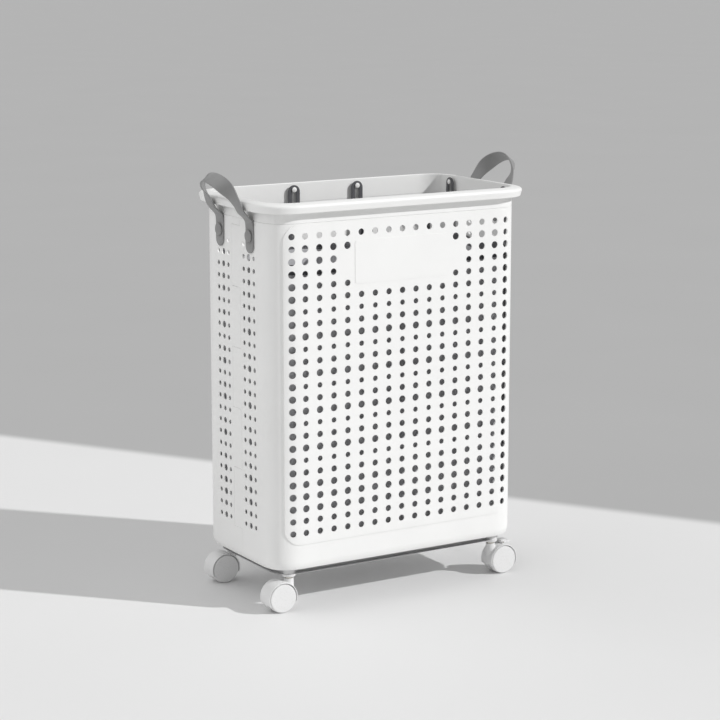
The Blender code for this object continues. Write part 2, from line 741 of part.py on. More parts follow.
def make_caster(name, side_x, side_y):
    x, y = side_x * STEM_X, side_y * STEM_Y
    make_stem(name, x, y, FINISH["steel"])
    make_sleeve(name, x, y, FINISH["white"])
    housing, hub = make_housing(name, x, y, side_x, side_x > 0, FINISH["white"])
    hang_on(f"swivel_{name}", (x, y, NECK_TOP), housing)
    reach = CASTER_WIDTH / 2 - AXLE_END
    start = (hub[0], y - reach, WHEEL_RADIUS)
    new_object(f"axle_{name}", rod(AXLE_RADIUS, 2 * reach, (0, 1, 0), start), FINISH["steel"])
    for which, side in (("a", -1), ("b", 1)):
        wheel = make_wheel(f"wheel_{name}_{which}", hub, side, FINISH["white"])
        hang_on(f"wheel_hub_{name}_{which}", hub, wheel)


# ---------------------------------------------------------------- the sorter

for old in list(bpy.data.objects):
    bpy.data.objects.remove(old, do_unlink=True)

FINISH = {
    "white": material("white_polypropylene", (0.86, 0.86, 0.86), 0.42),
    "grey": material("grey_rubber", (0.20, 0.20, 0.20), 0.55),
    "cloth": material("grey_liner_cloth", (0.33, 0.33, 0.34), 0.9),
    "steel": material("nickel_plated_steel", (0.62, 0.61, 0.59), 0.25, 1.0),
}

make_shells(FINISH["white"])
make_rim(FINISH["white"])
make_base_tray(FINISH["white"])
make_bag("liner_bag_left", -1, FINISH["cloth"])
make_bag("liner_bag_right", 1, FINISH["cloth"])
for end in (-1, 1):
    make_handle(end, FINISH["grey"])
    for leg in (-1, 1):
        make_strap_tab(end, leg, FINISH["grey"])
        make_button(end, leg, FINISH["grey"])
for caster, (caster_x, caster_y) in CASTERS.items():
    make_caster(caster, caster_x, caster_y)
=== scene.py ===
"""Finished surface of a two-bag laundry sorter on casters.

White moulded half shells full of round holes, a rolled rim, grey rubber strap handles, two
woven liner bags hung on pegs, and four small white twin-wheel casters. Metres, +Z up.
"""

import json
import math
from types import SimpleNamespace

import bmesh
import bpy
from mathutils import Matrix, Vector, noise


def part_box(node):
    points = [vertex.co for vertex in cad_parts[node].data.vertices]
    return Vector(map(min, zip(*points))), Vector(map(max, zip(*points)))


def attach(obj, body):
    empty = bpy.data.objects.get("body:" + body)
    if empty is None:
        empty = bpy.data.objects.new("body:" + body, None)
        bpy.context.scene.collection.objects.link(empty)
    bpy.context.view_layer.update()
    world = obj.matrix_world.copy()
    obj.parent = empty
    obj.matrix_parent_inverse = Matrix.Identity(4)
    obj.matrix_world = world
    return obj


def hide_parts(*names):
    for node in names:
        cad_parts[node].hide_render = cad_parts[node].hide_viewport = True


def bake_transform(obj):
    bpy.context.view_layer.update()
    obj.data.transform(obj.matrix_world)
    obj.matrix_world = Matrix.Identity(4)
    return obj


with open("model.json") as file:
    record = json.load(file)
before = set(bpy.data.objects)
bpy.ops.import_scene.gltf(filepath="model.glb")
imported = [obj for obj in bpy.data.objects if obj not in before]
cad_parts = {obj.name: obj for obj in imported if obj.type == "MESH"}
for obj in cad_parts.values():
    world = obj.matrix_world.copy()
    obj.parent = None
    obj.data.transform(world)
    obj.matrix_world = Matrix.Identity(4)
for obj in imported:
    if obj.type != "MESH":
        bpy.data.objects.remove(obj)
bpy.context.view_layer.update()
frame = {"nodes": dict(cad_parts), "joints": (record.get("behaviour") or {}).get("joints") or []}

MM = 0.001

# Body, as the CAD model has it
WALL = 2.6 * MM
CORNER = 52 * MM
CORNER_POWER = 2.5
GAP = 0.3 * MM
BOTTOM_RADIUS = 26 * MM
TRAY_BOSS = 10 * MM
SEAM_REACH = 13.5 * MM
FINGER_HEIGHT = 97 * MM
FINGER_BOTTOMS = (116.3 * MM, 310.3 * MM, 504.3 * MM)
RIM_THICK = 3 * MM
WALL_BOW = 1.7 * MM

SHELL_LOW, SHELL_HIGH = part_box("front_shell")
SHELL_HIGH = Vector((SHELL_HIGH.x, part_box("rear_shell")[1].y, SHELL_HIGH.z))
HALF_LENGTH = SHELL_HIGH.x
HALF_DEPTH = SHELL_HIGH.y
RIM_LOW, RIM_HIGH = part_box("rim_frame")
OVERHANG = RIM_HIGH.x - HALF_LENGTH
TRAY_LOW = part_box("base_tray")[0]
TRAY_FLOOR = TRAY_LOW.z + 3 * MM

# Perforations
COLUMN_PITCH = 25 * MM
EDGE_COLUMN = 197 * MM
ROW_PITCH = 19.4 * MM
ROW_COUNT = 25
TOP_ROW_Z = 593.5 * MM
LONG_COLUMNS = 17
SMALL, MEDIUM, LARGE = 4.3 * MM, 5.0 * MM, 5.75 * MM
END_COLUMNS = (25.1 * MM, 41.3 * MM, 57.5 * MM)
END_SMALL = 3.7 * MM

# Raised panel round the holes, and the blank label plate on it
PANEL_HALF = 210 * MM
PANEL_BOTTOM = 109 * MM
PANEL_TOP = 611.5 * MM
PANEL_CORNER = 25 * MM
PANEL_RISE = 1.1 * MM
LABEL_HALF = 87 * MM
LABEL_BOTTOM = 513 * MM
LABEL_TOP = 581 * MM
LABEL_CORNER = 5 * MM
LABEL_RISE = 0.6 * MM

# Strap handles
STRAP_WIDTH = 24 * MM
STRAP_THICK = 2.5 * MM
ARCH_REACH = {"left": 28.5 * MM, "right": 34.5 * MM}
ARCH_RISE = {"left": 32 * MM, "right": 36 * MM}
BUTTON_RADIUS = 10 * MM
BUTTON_HOLE = 3.5 * MM

# Pegs that the bags hang on
PEG_Z = 634 * MM
PEG_END_Y = 78 * MM
PEG_SIDE_X = 60 * MM
PEG_SHANK = 2.5 * MM
PEG_REACH = 8 * MM

# Liner bags
BAG_CLEARANCE = 4 * MM
BAG_INNER_CORNER = 22 * MM
BAG_BOTTOM_CHAMFER = 6 * MM
CLOTH = 0.9 * MM
CLOTH_INSET = 0.35 * MM
HEM_HEIGHT = 16 * MM
HEM_SAG = 5 * MM
PEG_PULL_REACH = 55 * MM
FOLD_DEPTH = 3.4 * MM
FOLD_WIDTH = 42 * MM
FOLD_LENGTH = 260 * MM
FLOOR_TURN_IN = 5 * MM
FLOOR_INSET = 7.5 * MM
FLOOR_SAG = 0.8 * MM
# The floor panel's outline with its rounded corners has 0.988 of its rectangle. It is an
# estimate, about 3 % low: the outline with its rounded corners has 0.988.
LOOP_RISE = 89.5 * MM
LOOP_BAND = 4.7 * MM
LOOP_WIDTH = 22 * MM
LOOP_GAP = 7 * MM

# Casters
WHEEL_RADIUS = 23.5 * MM
CASTER_WIDTH = 30.5 * MM
CORE_THICK = 6 * MM
HOOD_RADIUS = 25.5 * MM
HOOD_THICK = 1.3 * MM
HOOD_START = -25.0
HOOD_END = 198.0
STEM_BORE = 4.3 * MM
AXLE_BORE = 2.8 * MM
BRAKE_PIN_BORE = 1.5 * MM
BRAKE_PIN_AT = (3 * MM, HOOD_RADIUS + 1.9 * MM)
CASTERS = ("front_left", "front_right", "rear_left", "rear_right")

# Floor: the straight edge of the shadow painted on it, by its direction and distance from the origin
SHADOW_EDGE_NORMAL = Vector((0.846, 0.533, 0.0))
SHADOW_EDGE_DISTANCE = 0.579
SHADOW_EDGE_SOFTNESS = 50 * MM
FLOOR_MOTTLE = 500 * MM
FLOOR_REACH = 40.0

# Camera
CAMERA_AZIMUTH = math.radians(-31.32)
CAMERA_ELEVATION = math.radians(11.09)
CAMERA_DISTANCE = 3.563
CAMERA_LENS = 109.7
CAMERA_TARGET = Vector((-0.0022, 0.0013, 0.364))

joints = {joint["name"]: joint for joint in frame["joints"]}


# ---------------------------------------------------------------- nodes and materials


def add(tree, kind, settings=None, inputs=None):
    """A node with its attributes set, and its inputs set to a value or linked from a socket."""
    node = tree.nodes.new(kind)
    for key, value in (settings or {}).items():
        setattr(node, key, value)
    for key, value in (inputs or {}).items():
        if isinstance(value, bpy.types.NodeSocket):
            tree.links.new(value, node.inputs[key])
        else:
            node.inputs[key].default_value = value
    return node


def linear(code):
    """An sRGB hex colour such as F4F4F2 as linear RGBA."""
    channels = [int(code[k : k + 2], 16) / 255 for k in (0, 2, 4)]
    low = [c / 12.92 if c <= 0.04045 else ((c + 0.055) / 1.055) ** 2.4 for c in channels]
    return (*low, 1.0)


def new_material(name, roughness, ior=1.5, metallic=0.0, **sockets):
    """(material, tree, shader), with the constants on the shader's own sockets."""
    made = bpy.data.materials.new(name)
    made.use_nodes = True
    tree = made.node_tree
    shader = tree.nodes["Principled BSDF"]
    shader.inputs["Roughness"].default_value = roughness
    shader.inputs["IOR"].default_value = ior
    shader.inputs["Metallic"].default_value = metallic
    for label, value in sockets.items():
        shader.inputs[label.replace("_", " ").title()].default_value = value
    return made, tree, shader


def place(tree):
    return add(tree, "ShaderNodeTexCoord").outputs["Object"]


def noise_of(tree, where, size, detail, roughness=0.5):
    """Noise with features of that size, in metres."""
    inputs = {"Vector": where, "Scale": 1.0 / size, "Detail": detail, "Roughness": roughness}
    return add(tree, "ShaderNodeTexNoise", inputs=inputs).outputs["Fac"]


def bands_of(tree, where, direction, spacing, distortion, detail):
    """Waves across one direction, that far apart in metres. Blender's wave repeats every
    pi / 10 units at scale 1."""
    inputs = {"Vector": where, "Scale": 0.314 / spacing, "Distortion": distortion, "Detail": detail}
    settings = {"wave_type": "BANDS", "bands_direction": direction}
    return add(tree, "ShaderNodeTexWave", settings, inputs).outputs["Fac"]


def ramp(tree, value, low, high, least=0.0, most=1.0):
    """The value's stretch from low to high, mapped to least to most."""
    inputs = {0: value, 1: low, 2: high, 3: least, 4: most}
    return add(tree, "ShaderNodeMapRange", inputs=inputs).outputs[0]


def combined(tree, operation, first, second):
    return add(tree, "ShaderNodeMath", {"operation": operation}, {0: first, 1: second}).outputs[0]


def between(tree, share, first, second):
    """A colour between two sRGB hex colours."""
    inputs = {0: share, 6: linear(first), 7: linear(second)}
    return add(tree, "ShaderNodeMix", {"data_type": "RGBA"}, inputs).outputs[2]


def shaded(tree, colour, amount):
    """A colour made darker or lighter by an amount."""
    inputs = {0: colour, "Scale": amount}
    return add(tree, "ShaderNodeVectorMath", {"operation": "SCALE"}, inputs).outputs[0]


def relief(tree, height, strength, depth):
    """A bump of that depth, in metres."""
    inputs = {"Strength": strength, "Distance": depth, "Height": height}
    return add(tree, "ShaderNodeBump", inputs=inputs).outputs[0]


def drive(tree, shader, **sockets):
    """Links each socket to the shader's input of that name."""
    for label, socket in sockets.items():
        tree.links.new(socket, shader.inputs[label.replace("_", " ").title()])


def moulded_polypropylene(name, bright, dull):
    """Polypropylene from a fine spark-eroded mould: satin white, with a faint grain that
    softens the highlights and slow flow marks that vary gloss and whiteness a little."""
    made, tree, shader = new_material(name, 0.42, ior=1.49)
    where = place(tree)
    flow = noise_of(tree, where, 70 * MM, 3.0, 0.55)
    # The real grain is about 0.1 mm, too fine to show, so it is drawn at 0.9 mm.
    grain = noise_of(tree, where, 0.9 * MM, 2.0)
    drive(
        tree,
        shader,
        base_color=between(tree, flow, bright, dull),
        roughness=ramp(tree, flow, 0.3, 0.7, 0.36, 0.48),
        normal=relief(tree, grain, 0.16, 0.05 * MM),
    )
    return made


def thermoplastic_rubber(name, light, dark):
    """Moulded thermoplastic rubber: mid grey and matt, its skin broken by a soft mottle and a
    fine leathery grain that catches the light at grazing angles."""
    made, tree, shader = new_material(name, 0.62, ior=1.48, sheen_weight=0.15)
    where = place(tree)
    mottle = noise_of(tree, where, 18 * MM, 5.0, 0.6)
    pores = add(
        tree,
        "ShaderNodeTexVoronoi",
        {"feature": "DISTANCE_TO_EDGE"},
        {"Vector": where, "Scale": 1.0 / (1.1 * MM)},
    )
    drive(
        tree,
        shader,
        base_color=between(tree, mottle, light, dark),
        roughness=ramp(tree, mottle, 0.3, 0.7, 0.52, 0.68),
        normal=relief(tree, pores.outputs["Distance"], 0.25, 0.08 * MM),
    )
    return made


def woven_polyester(name, warp_code, weft_code, thread):
    """Plain-woven polyester: two greys cross at each thread, so the cloth reads as a fine
    heather with a dry, faintly fuzzy surface. UVs run in metres along warp and weft. The real
    thread is about 0.3 mm and is drawn coarser, so that the weave shows."""
    made, tree, shader = new_material(name, 0.85, sheen_weight=0.35, sheen_roughness=0.5)
    where = add(tree, "ShaderNodeUVMap", {"uv_map": "threads"}).outputs["UV"]
    warp, weft = (bands_of(tree, where, direction, thread, 0.6, 1.0) for direction in ("X", "Y"))
    which = ramp(tree, combined(tree, "SUBTRACT", warp, weft), -0.6, 0.6)
    slubs = ramp(tree, noise_of(tree, where, 9 * MM, 4.0), 0.3, 0.7, 0.88, 1.06)
    drive(
        tree,
        shader,
        base_color=shaded(tree, between(tree, which, warp_code, weft_code), slubs),
        normal=relief(tree, combined(tree, "MAXIMUM", warp, weft), 0.45, 0.15 * MM),
    )
    return made


def spun_thread(name, code):
    """Spun polyester sewing thread: a soft, slightly lighter line of short twisted stitches."""
    made, tree, shader = new_material(name, 0.7, sheen_weight=0.3)
    twist = ramp(tree, noise_of(tree, place(tree), 0.5 * MM, 1.0), 0.3, 0.7, 0.85, 1.1)
    drive(tree, shader, base_color=shaded(tree, linear(code)[:3], twist))
    return made


def nickel_plated_steel(name):
    """Nickel-plated steel: a bright, warm grey metal whose turned surface has fine rings."""
    made, tree, shader = new_material(name, 0.24, metallic=1.0)
    where = place(tree)
    rings = bands_of(tree, where, "Z", 0.7 * MM, 2.0, 2.0)
    stain = noise_of(tree, where, 4 * MM, 4.0)
    drive(
        tree,
        shader,
        base_color=between(tree, stain, "D6D2CA", "A9A59C"),
        roughness=ramp(tree, rings, 0.0, 1.0, 0.18, 0.34),
    )
    return made


def moulded_nylon(name, clean, scuffed):
    """Glass-filled nylon, moulded: a cool white with a tighter gloss than the body, greyed in
    small patches where it has been scuffed."""
    made, tree, shader = new_material(name, 0.38, ior=1.53)
    scuff = noise_of(tree, place(tree), 2.2 * MM, 6.0, 0.7)
    drive(
        tree,
        shader,
        base_color=between(tree, ramp(tree, scuff, 0.52, 0.75), clean, scuffed),
        roughness=ramp(tree, scuff, 0.3, 0.7, 0.3, 0.46),
        normal=relief(tree, scuff, 0.12, 0.05 * MM),
    )
    return made


def floor_with_painted_shadow(name, pale, shade):
    """Matt floor in two tones that meet along a straight, slightly soft edge: pale under the sorter,
    and mid grey behind it as a painted shadow, the shade where the key light is cut off. A slow
    mottle keeps it from looking printed."""
    made, tree, shader = new_material(name, 0.85)
    where = place(tree)
    inputs = {0: where, 1: SHADOW_EDGE_NORMAL}
    behind = add(tree, "ShaderNodeVectorMath", {"operation": "DOT_PRODUCT"}, inputs)
    half = SHADOW_EDGE_SOFTNESS / 2
    shadow_share = add(
        tree,
        "ShaderNodeMapRange",
        {"interpolation_type": "SMOOTHSTEP"},
        {0: behind.outputs["Value"], 1: SHADOW_EDGE_DISTANCE - half, 2: SHADOW_EDGE_DISTANCE + half},
    )
    mottle = ramp(tree, noise_of(tree, where, FLOOR_MOTTLE, 2.0), 0.3, 0.7, 0.985, 1.0)
    # pale where lit, mid grey where the painted shadow lies
    floor_tone = between(tree, shadow_share.outputs[0], pale, shade)
    drive(tree, shader, base_color=shaded(tree, floor_tone, mottle))
    return made


# ---------------------------------------------------------------- meshes


def linked(name, data):
    """A new object in the scene."""
    obj = bpy.data.objects.new(name, data)
    bpy.context.scene.collection.objects.link(obj)
    return obj


def raw_object(name, bm):
    """An object from a closed bmesh, its faces pointing out."""
    bmesh.ops.recalc_face_normals(bm, faces=bm.faces)
    mesh = bpy.data.meshes.new(name)
    bm.to_mesh(mesh)
    bm.free()
    return linked(name, mesh)


def bake(obj):
    """Replaces the object's mesh with what its modifiers make of it."""
    graph = bpy.context.evaluated_depsgraph_get()
    obj.data = bpy.data.meshes.new_from_object(obj.evaluated_get(graph))
    obj.modifiers.clear()


def drop(*helpers):
    for helper in helpers:
        bpy.data.objects.remove(helper, do_unlink=True)


def boolean(obj, other, operation):
    """Joins, cuts or intersects at once, and removes the other object."""
    step = obj.modifiers.new(operation, "BOOLEAN")
    step.object = other
    step.operation = operation
    step.solver = "MANIFOLD"
    bake(obj)
    drop(other)


def soften(obj, name, width):
    """Rounds the object's sharp edges."""
    edge = obj.modifiers.new(name, "BEVEL")
    edge.width = width
    edge.segments = 2
    edge.limit_method = "ANGLE"
    edge.angle_limit = math.radians(50)
    bake(obj)


def finished(obj, material, body, nodes=(), smooth=32.0):
    """Shades a piece, gives it its material, ties it to its body and hides the CAD nodes it takes
    the place of.
    """
    obj.data.shade_smooth()
    obj.data.set_sharp_from_angle(angle=math.radians(smooth))
    if not obj.data.materials:
        obj.data.materials.append(material)
    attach(obj, body)
    if nodes:
        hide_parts(*nodes)
    return obj


def rounded_outline(half_x, half_y, corners, steps=14, long=10, short=4):
    """Counter-clockwise outline with superellipse corners, from the +X+Y one on, and straight
    stretches cut into long and short pieces."""
    arcs = []
    signs = ((1, 1), (-1, 1), (-1, -1), (1, -1))
    for quarter, ((sx, sy), radius) in enumerate(zip(signs, corners)):
        corner = []
        for step in range(steps + 1):
            turn = math.radians(90 * step / steps)
            if quarter % 2:
                turn = math.pi / 2 - turn
            across = abs(math.cos(turn)) ** (2 / CORNER_POWER)
            along = abs(math.sin(turn)) ** (2 / CORNER_POWER)
            x = sx * (half_x - radius + radius * across)
            corner.append(Vector((x, sy * (half_y - radius + radius * along))))
        arcs.append(corner)
    points = []
    for k, corner in enumerate(arcs):
        points += corner
        start, end = corner[-1], arcs[(k + 1) % 4][0]
        pieces = short if k % 2 else long
        points += [start.lerp(end, n / pieces) for n in range(1, pieces)]
    return points


def body_ring(outset, z, bow=0.0):
    """The body's outline moved out by outset, at height z; bow swells its long sides."""
    corner = max(CORNER + outset, 0.35 * CORNER)
    half_x, half_y = HALF_LENGTH + outset, HALF_DEPTH + outset
    ring = []
    for x, y in rounded_outline(half_x, half_y, (corner,) * 4):
        swell = bow * (1 - (x / half_x) ** 2) * (y / half_y) ** 6
        ring.append(Vector((x, y + math.copysign(swell, y), z)))
    return ring


def loft(rings, wrap=False):
    """A closed solid through rings of equal length: capped at its ends, or wrapped to a tube."""
    bm = bmesh.new()
    loops = [[bm.verts.new(point) for point in ring] for ring in rings]
    count = len(loops[0])
    pairs = list(zip(loops, loops[1:]))
    if wrap:
        pairs.append((loops[-1], loops[0]))
    for lower, upper in pairs:
        for k in range(count):
            after = (k + 1) % count
            bm.faces.new((lower[k], lower[after], upper[after], upper[k]))
    if not wrap:
        bm.faces.new(loops[0])
        bm.faces.new(loops[-1])
    return bm


def turned(profile, segments, matrix=None, bm=None):
    """A solid of revolution about Z from (radius, height) points that start and end at radius 0,
    or that form a closed loop clear of the axis. It is added to bm if one is given."""
    part = bmesh.new()
    closed = profile[0][0] > 0
    rings = []
    for radius, height in profile:
        if radius == 0:
            rings.append([part.verts.new((0, 0, height))])
            continue
        turns = (2 * math.pi * k / segments for k in range(segments))
        ring = [(radius * math.cos(t), radius * math.sin(t), height) for t in turns]
        rings.append([part.verts.new(point) for point in ring])
    pairs = list(zip(rings, rings[1:]))
    if closed:
        pairs.append((rings[-1], rings[0]))
    for first, second in pairs:
        for k in range(segments):
            after = (k + 1) % segments
            corners = [first[k % len(first)], first[after % len(first)]]
            corners += [second[after % len(second)], second[k % len(second)]]
            part.faces.new(list(dict.fromkeys(corners)))
    if matrix:
        part.transform(matrix)
    return merged(part, bm)


def rod(radius, low, high):
    """Profile of a plain cylinder, for turned()."""
    return [(0, low), (radius, low), (radius, high), (0, high)]


def bored(obj, profile, segments, matrix):
    """Cuts a solid of revolution out of the object."""
    boolean(obj, raw_object("bore", turned(profile, segments, matrix)), "DIFFERENCE")


def merged(part, bm):
    """Adds part to bm, or gives part back if there is no bm."""
    if bm is None:
        return part
    bmesh.ops.recalc_face_normals(part, faces=part.faces)
    mesh = bpy.data.meshes.new("part")
    part.to_mesh(mesh)
    part.free()
    bm.from_mesh(mesh)
    bpy.data.meshes.remove(mesh)
    return bm


def prism(outline, low, high, where, bm=None):
    """An outline extruded from low to high; where(a, b, h) gives each point in space."""
    return merged(loft([[where(a, b, h) for a, b in outline] for h in (low, high)]), bm)


def along(axis, start=(0, 0, 0)):
    """Turns a shape made along Z to lie along axis, then moves it to start."""
    turn = Vector((0, 0, 1)).rotation_difference(Vector(axis)).to_matrix().to_4x4()
    return Matrix.Translation(start) @ turn


def arc(radius, start, end, steps, centre=(0, 0)):
    """Points on an arc, angles in degrees."""
    turns = (math.radians(start + (end - start) * k / steps) for k in range(steps + 1))
    return [(centre[0] + radius * math.cos(t), centre[1] + radius * math.sin(t)) for t in turns]


def rounded_rectangle(low, high, radius, steps=8):
    """Counter-clockwise outline of a rectangle with rounded corners."""
    (x0, y0), (x1, y1) = low, high
    corners = ((x1, y1, 0), (x0, y1, 90), (x0, y0, 180), (x1, y0, 270))
    points = []
    for x, y, turn in corners:
        inward = (-radius if x == x1 else radius, -radius if y == y1 else radius)
        points += arc(radius, turn, turn + 90, steps, (x + inward[0], y + inward[1]))
    return points


# ---------------------------------------------------------------- geometry nodes


def new_tree(name, inputs):
    """(tree, group input, group output): a tree that takes and gives geometry, and takes the
    material it finishes with besides its named inputs."""
    tree = bpy.data.node_groups.new(name, "GeometryNodeTree")
    tree.interface.new_socket("Geometry", in_out="INPUT", socket_type="NodeSocketGeometry")
    for label, kind in {**inputs, "Finish": "Material"}.items():
        tree.interface.new_socket(label, in_out="INPUT", socket_type=f"NodeSocket{kind}")
    tree.interface.new_socket("Geometry", in_out="OUTPUT", socket_type="NodeSocketGeometry")
    return tree, add(tree, "NodeGroupInput"), add(tree, "NodeGroupOutput")


def close_tree(tree, geometry, inputs, output):
    """Ends a tree: its instances made real, in the Finish material."""
    real = add(tree, "GeometryNodeRealizeInstances", inputs={0: geometry})
    finish = {"Geometry": real.outputs[0], "Material": inputs.outputs["Finish"]}
    done = add(tree, "GeometryNodeSetMaterial", inputs=finish)
    tree.links.new(done.outputs[0], output.inputs[0])
    return tree


def grow(obj, tree, values):
    """Runs a tree on the object with its named inputs set, and keeps the plain mesh."""
    step = obj.modifiers.new(tree.name, "NODES")
    step.node_group = tree
    for item in tree.interface.items_tree:
        if item.name in values:
            step[item.identifier] = values[item.name]
    bake(obj)


def attribute(tree, name, kind):
    node = add(tree, "GeometryNodeInputNamedAttribute", {"data_type": kind}, {"Name": name})
    return node.outputs["Attribute"]


def copies(tree, points, unit, axis, facing, stretch):
    """An instance of a unit on each point, its axis turned to face that way."""
    turn = add(tree, "FunctionNodeAlignRotationToVector", {"axis": axis}, {"Vector": facing})
    scale = add(tree, "ShaderNodeCombineXYZ", inputs=dict(enumerate(stretch)))
    inputs = {"Points": points, "Instance": unit, "Rotation": turn.outputs["Rotation"]}
    inputs["Scale"] = scale.outputs[0]
    return add(tree, "GeometryNodeInstanceOnPoints", inputs=inputs).outputs[0]


def copies_on_sites(tree, points, inputs):
    """A copy of Unit on each point, +Z along the point's 'facing', its radius times 'size'."""
    unit = add(tree, "GeometryNodeObjectInfo", inputs={"Object": inputs.outputs["Unit"]})
    facing = attribute(tree, "facing", "FLOAT_VECTOR")
    size = attribute(tree, "size", "FLOAT")
    return copies(tree, points, unit.outputs["Geometry"], "Z", facing, (size, size, 1.0))


def perforation_tree():
    """Cuts a copy of Unit out of the wall at every point of Sites."""
    tree, inputs, output = new_tree("perforations", {"Sites": "Object", "Unit": "Object"})
    sites = add(tree, "GeometryNodeObjectInfo", inputs={"Object": inputs.outputs["Sites"]})
    cutters = copies_on_sites(tree, sites.outputs["Geometry"], inputs)
    real = add(tree, "GeometryNodeRealizeInstances", inputs={0: cutters})
    cut = add(
        tree,
        "GeometryNodeMeshBoolean",
        {"operation": "DIFFERENCE", "solver": "MANIFOLD"},
        {"Mesh 1": inputs.outputs["Geometry"], "Mesh 2": real.outputs[0]},
    )
    return close_tree(tree, cut.outputs["Mesh"], inputs, output)


def repeat_tree():
    """Sets a copy of Unit on every point of the geometry: pegs and buttons."""
    tree, inputs, output = new_tree("repeats", {"Unit": "Object"})
    placed = copies_on_sites(tree, inputs.outputs["Geometry"], inputs)
    return close_tree(tree, placed, inputs, output)


def stitch_tree():
    """Lays a row of stitches along an edge path, one every Pitch."""
    sizes = {"Pitch": "Float", "Stitch Length": "Float", "Thread Radius": "Float"}
    tree, inputs, output = new_tree("stitches", sizes)
    path = add(tree, "GeometryNodeMeshToCurve", inputs={0: inputs.outputs["Geometry"]})
    points = add(
        tree,
        "GeometryNodeCurveToPoints",
        {"mode": "LENGTH"},
        {"Curve": path.outputs[0], "Length": inputs.outputs["Pitch"]},
    )
    stitch = add(tree, "GeometryNodeMeshIcoSphere", inputs={"Radius": 1.0, "Subdivisions": 2})
    half = combined(tree, "MULTIPLY", inputs.outputs["Stitch Length"], 0.5)
    thick = inputs.outputs["Thread Radius"]
    along_seam = points.outputs["Tangent"]
    ball = stitch.outputs["Mesh"]
    spots = points.outputs["Points"]
    placed = copies(tree, spots, ball, "X", along_seam, (half, thick, thick))
    return close_tree(tree, placed, inputs, output)


def site_object(name, sites):
    """A cloud of points, each with its place, the way it faces and its size."""
    mesh = bpy.data.meshes.new(name)
    mesh.from_pydata([place for place, _, _ in sites], [], [])
    mesh.attributes.new("facing", "FLOAT_VECTOR", "POINT")
    mesh.attributes.new("size", "FLOAT", "POINT")
    for k, (_, direction, radius) in enumerate(sites):
        mesh.attributes["facing"].data[k].vector = direction
        mesh.attributes["size"].data[k].value = radius
    return linked(name, mesh)


# ---------------------------------------------------------------- shells


def shell_profile(outset=0.0, wall=WALL):
    """The wall as (outset, z, share of the bow): up the outside, down the inside."""
    centre_z = TRAY_LOW.z + BOTTOM_RADIUS
    foot = centre_z - SHELL_LOW.z
    radius = BOTTOM_RADIUS + outset
    inner_radius = radius - wall
    turn = math.degrees(math.asin(foot / radius))
    inner_turn = math.degrees(math.asin(foot / inner_radius))
    outer = arc(radius, -turn, 0, 10, (-BOTTOM_RADIUS, centre_z))
    inner = arc(inner_radius, 0, -inner_turn, 10, (-BOTTOM_RADIUS, centre_z))
    rises = [0.03, 0.08, 0.16, 0.3, 0.5, 0.7, 0.84, 0.92, 0.97]
    heights = [centre_z + share * (SHELL_HIGH.z - centre_z) for share in rises]
    heights.append(SHELL_HIGH.z)
    up = [(outset, z, bow_share(z)) for z in heights]
    down = [(outset - wall, z, bow_share(z)) for z in reversed(heights)]
    outer = [(n, z, 0.0) for n, z in outer]
    inner = [(n, z, 0.0) for n, z in inner]
    return outer + up + down + inner


def bow_share(z):
    """The bow fades out towards the bottom rounding and the rim."""
    span = SHELL_HIGH.z - TRAY_LOW.z - BOTTOM_RADIUS
    share = (z - TRAY_LOW.z - BOTTOM_RADIUS) / span
    return max(0.0, 1 - abs(2 * share - 1) ** 4)


def seam_prism(keeps_front):
    """A castellated prism over the half of the body behind or before the seam."""
    side = -1 if keeps_front else 1
    base_y = -SEAM_REACH + side * GAP / 2
    tip_y = SEAM_REACH + side * GAP / 2
    far_y = -side * 2 * HALF_DEPTH
    outline = [(base_y, 0)]
    for bottom in FINGER_BOTTOMS:
        low = bottom - side * GAP / 2
        high = bottom + FINGER_HEIGHT + side * GAP / 2
        outline += [(base_y, low), (tip_y, low), (tip_y, high), (base_y, high)]
    outline += [(base_y, 1.0), (far_y, 1.0), (far_y, 0)]
    half = 2 * HALF_LENGTH
    return raw_object("seam", prism(outline, -half, half, lambda y, z, x: (x, y, z)))


def wall_at(x, z):
    """(distance of the long wall from the middle, its outward direction for the front)."""
    past = max(0.0, (abs(x) - (HALF_LENGTH - CORNER)) / CORNER)
    rest = (1 - past**CORNER_POWER) ** (1 / CORNER_POWER)
    swell = WALL_BOW * bow_share(z) * (1 - (x / HALF_LENGTH) ** 2)
    slope = past ** (CORNER_POWER - 1) / rest ** (CORNER_POWER - 1)
    direction = Vector((math.copysign(slope, x), -1.0, 0.0)).normalized()
    return HALF_DEPTH - CORNER + CORNER * rest + swell, direction


def hole_radius(row):
    """Rows repeat small, medium, large, with large holes towards the top and the bottom."""
    if row in (0, 23, 24, 3, 4, 5):
        return MEDIUM
    if row in (1, 2, 21, 22):
        return LARGE
    return (SMALL, MEDIUM, LARGE)[row % 3]


def long_side_sites(side_y):
    """Seventeen columns of holes, left out round the label plate."""
    sites = []
    for column in range(LONG_COLUMNS):
        edge = column in (0, LONG_COLUMNS - 1)
        x = (column - LONG_COLUMNS // 2) * COLUMN_PITCH
        if edge:
            x = math.copysign(EDGE_COLUMN, x)
        for row in range(ROW_COUNT):
            blank = row in (1, 2, 3, 4) and 5 <= column <= 11
            blank = blank or (row in (2, 3) and column in (4, 12))
            if blank:
                continue
            z = TOP_ROW_Z - row * ROW_PITCH
            radius = hole_radius(row)
            if edge:
                radius = MEDIUM if row in (0, 1, 23, 24) else LARGE
            reach, direction = wall_at(x, z)
            spot = Vector((x, -reach, z)) + direction * PANEL_RISE
            if side_y > 0:
                spot.y, direction = -spot.y, Vector((direction.x, -direction.y, 0))
            sites.append((spot, direction, radius))
    return sites


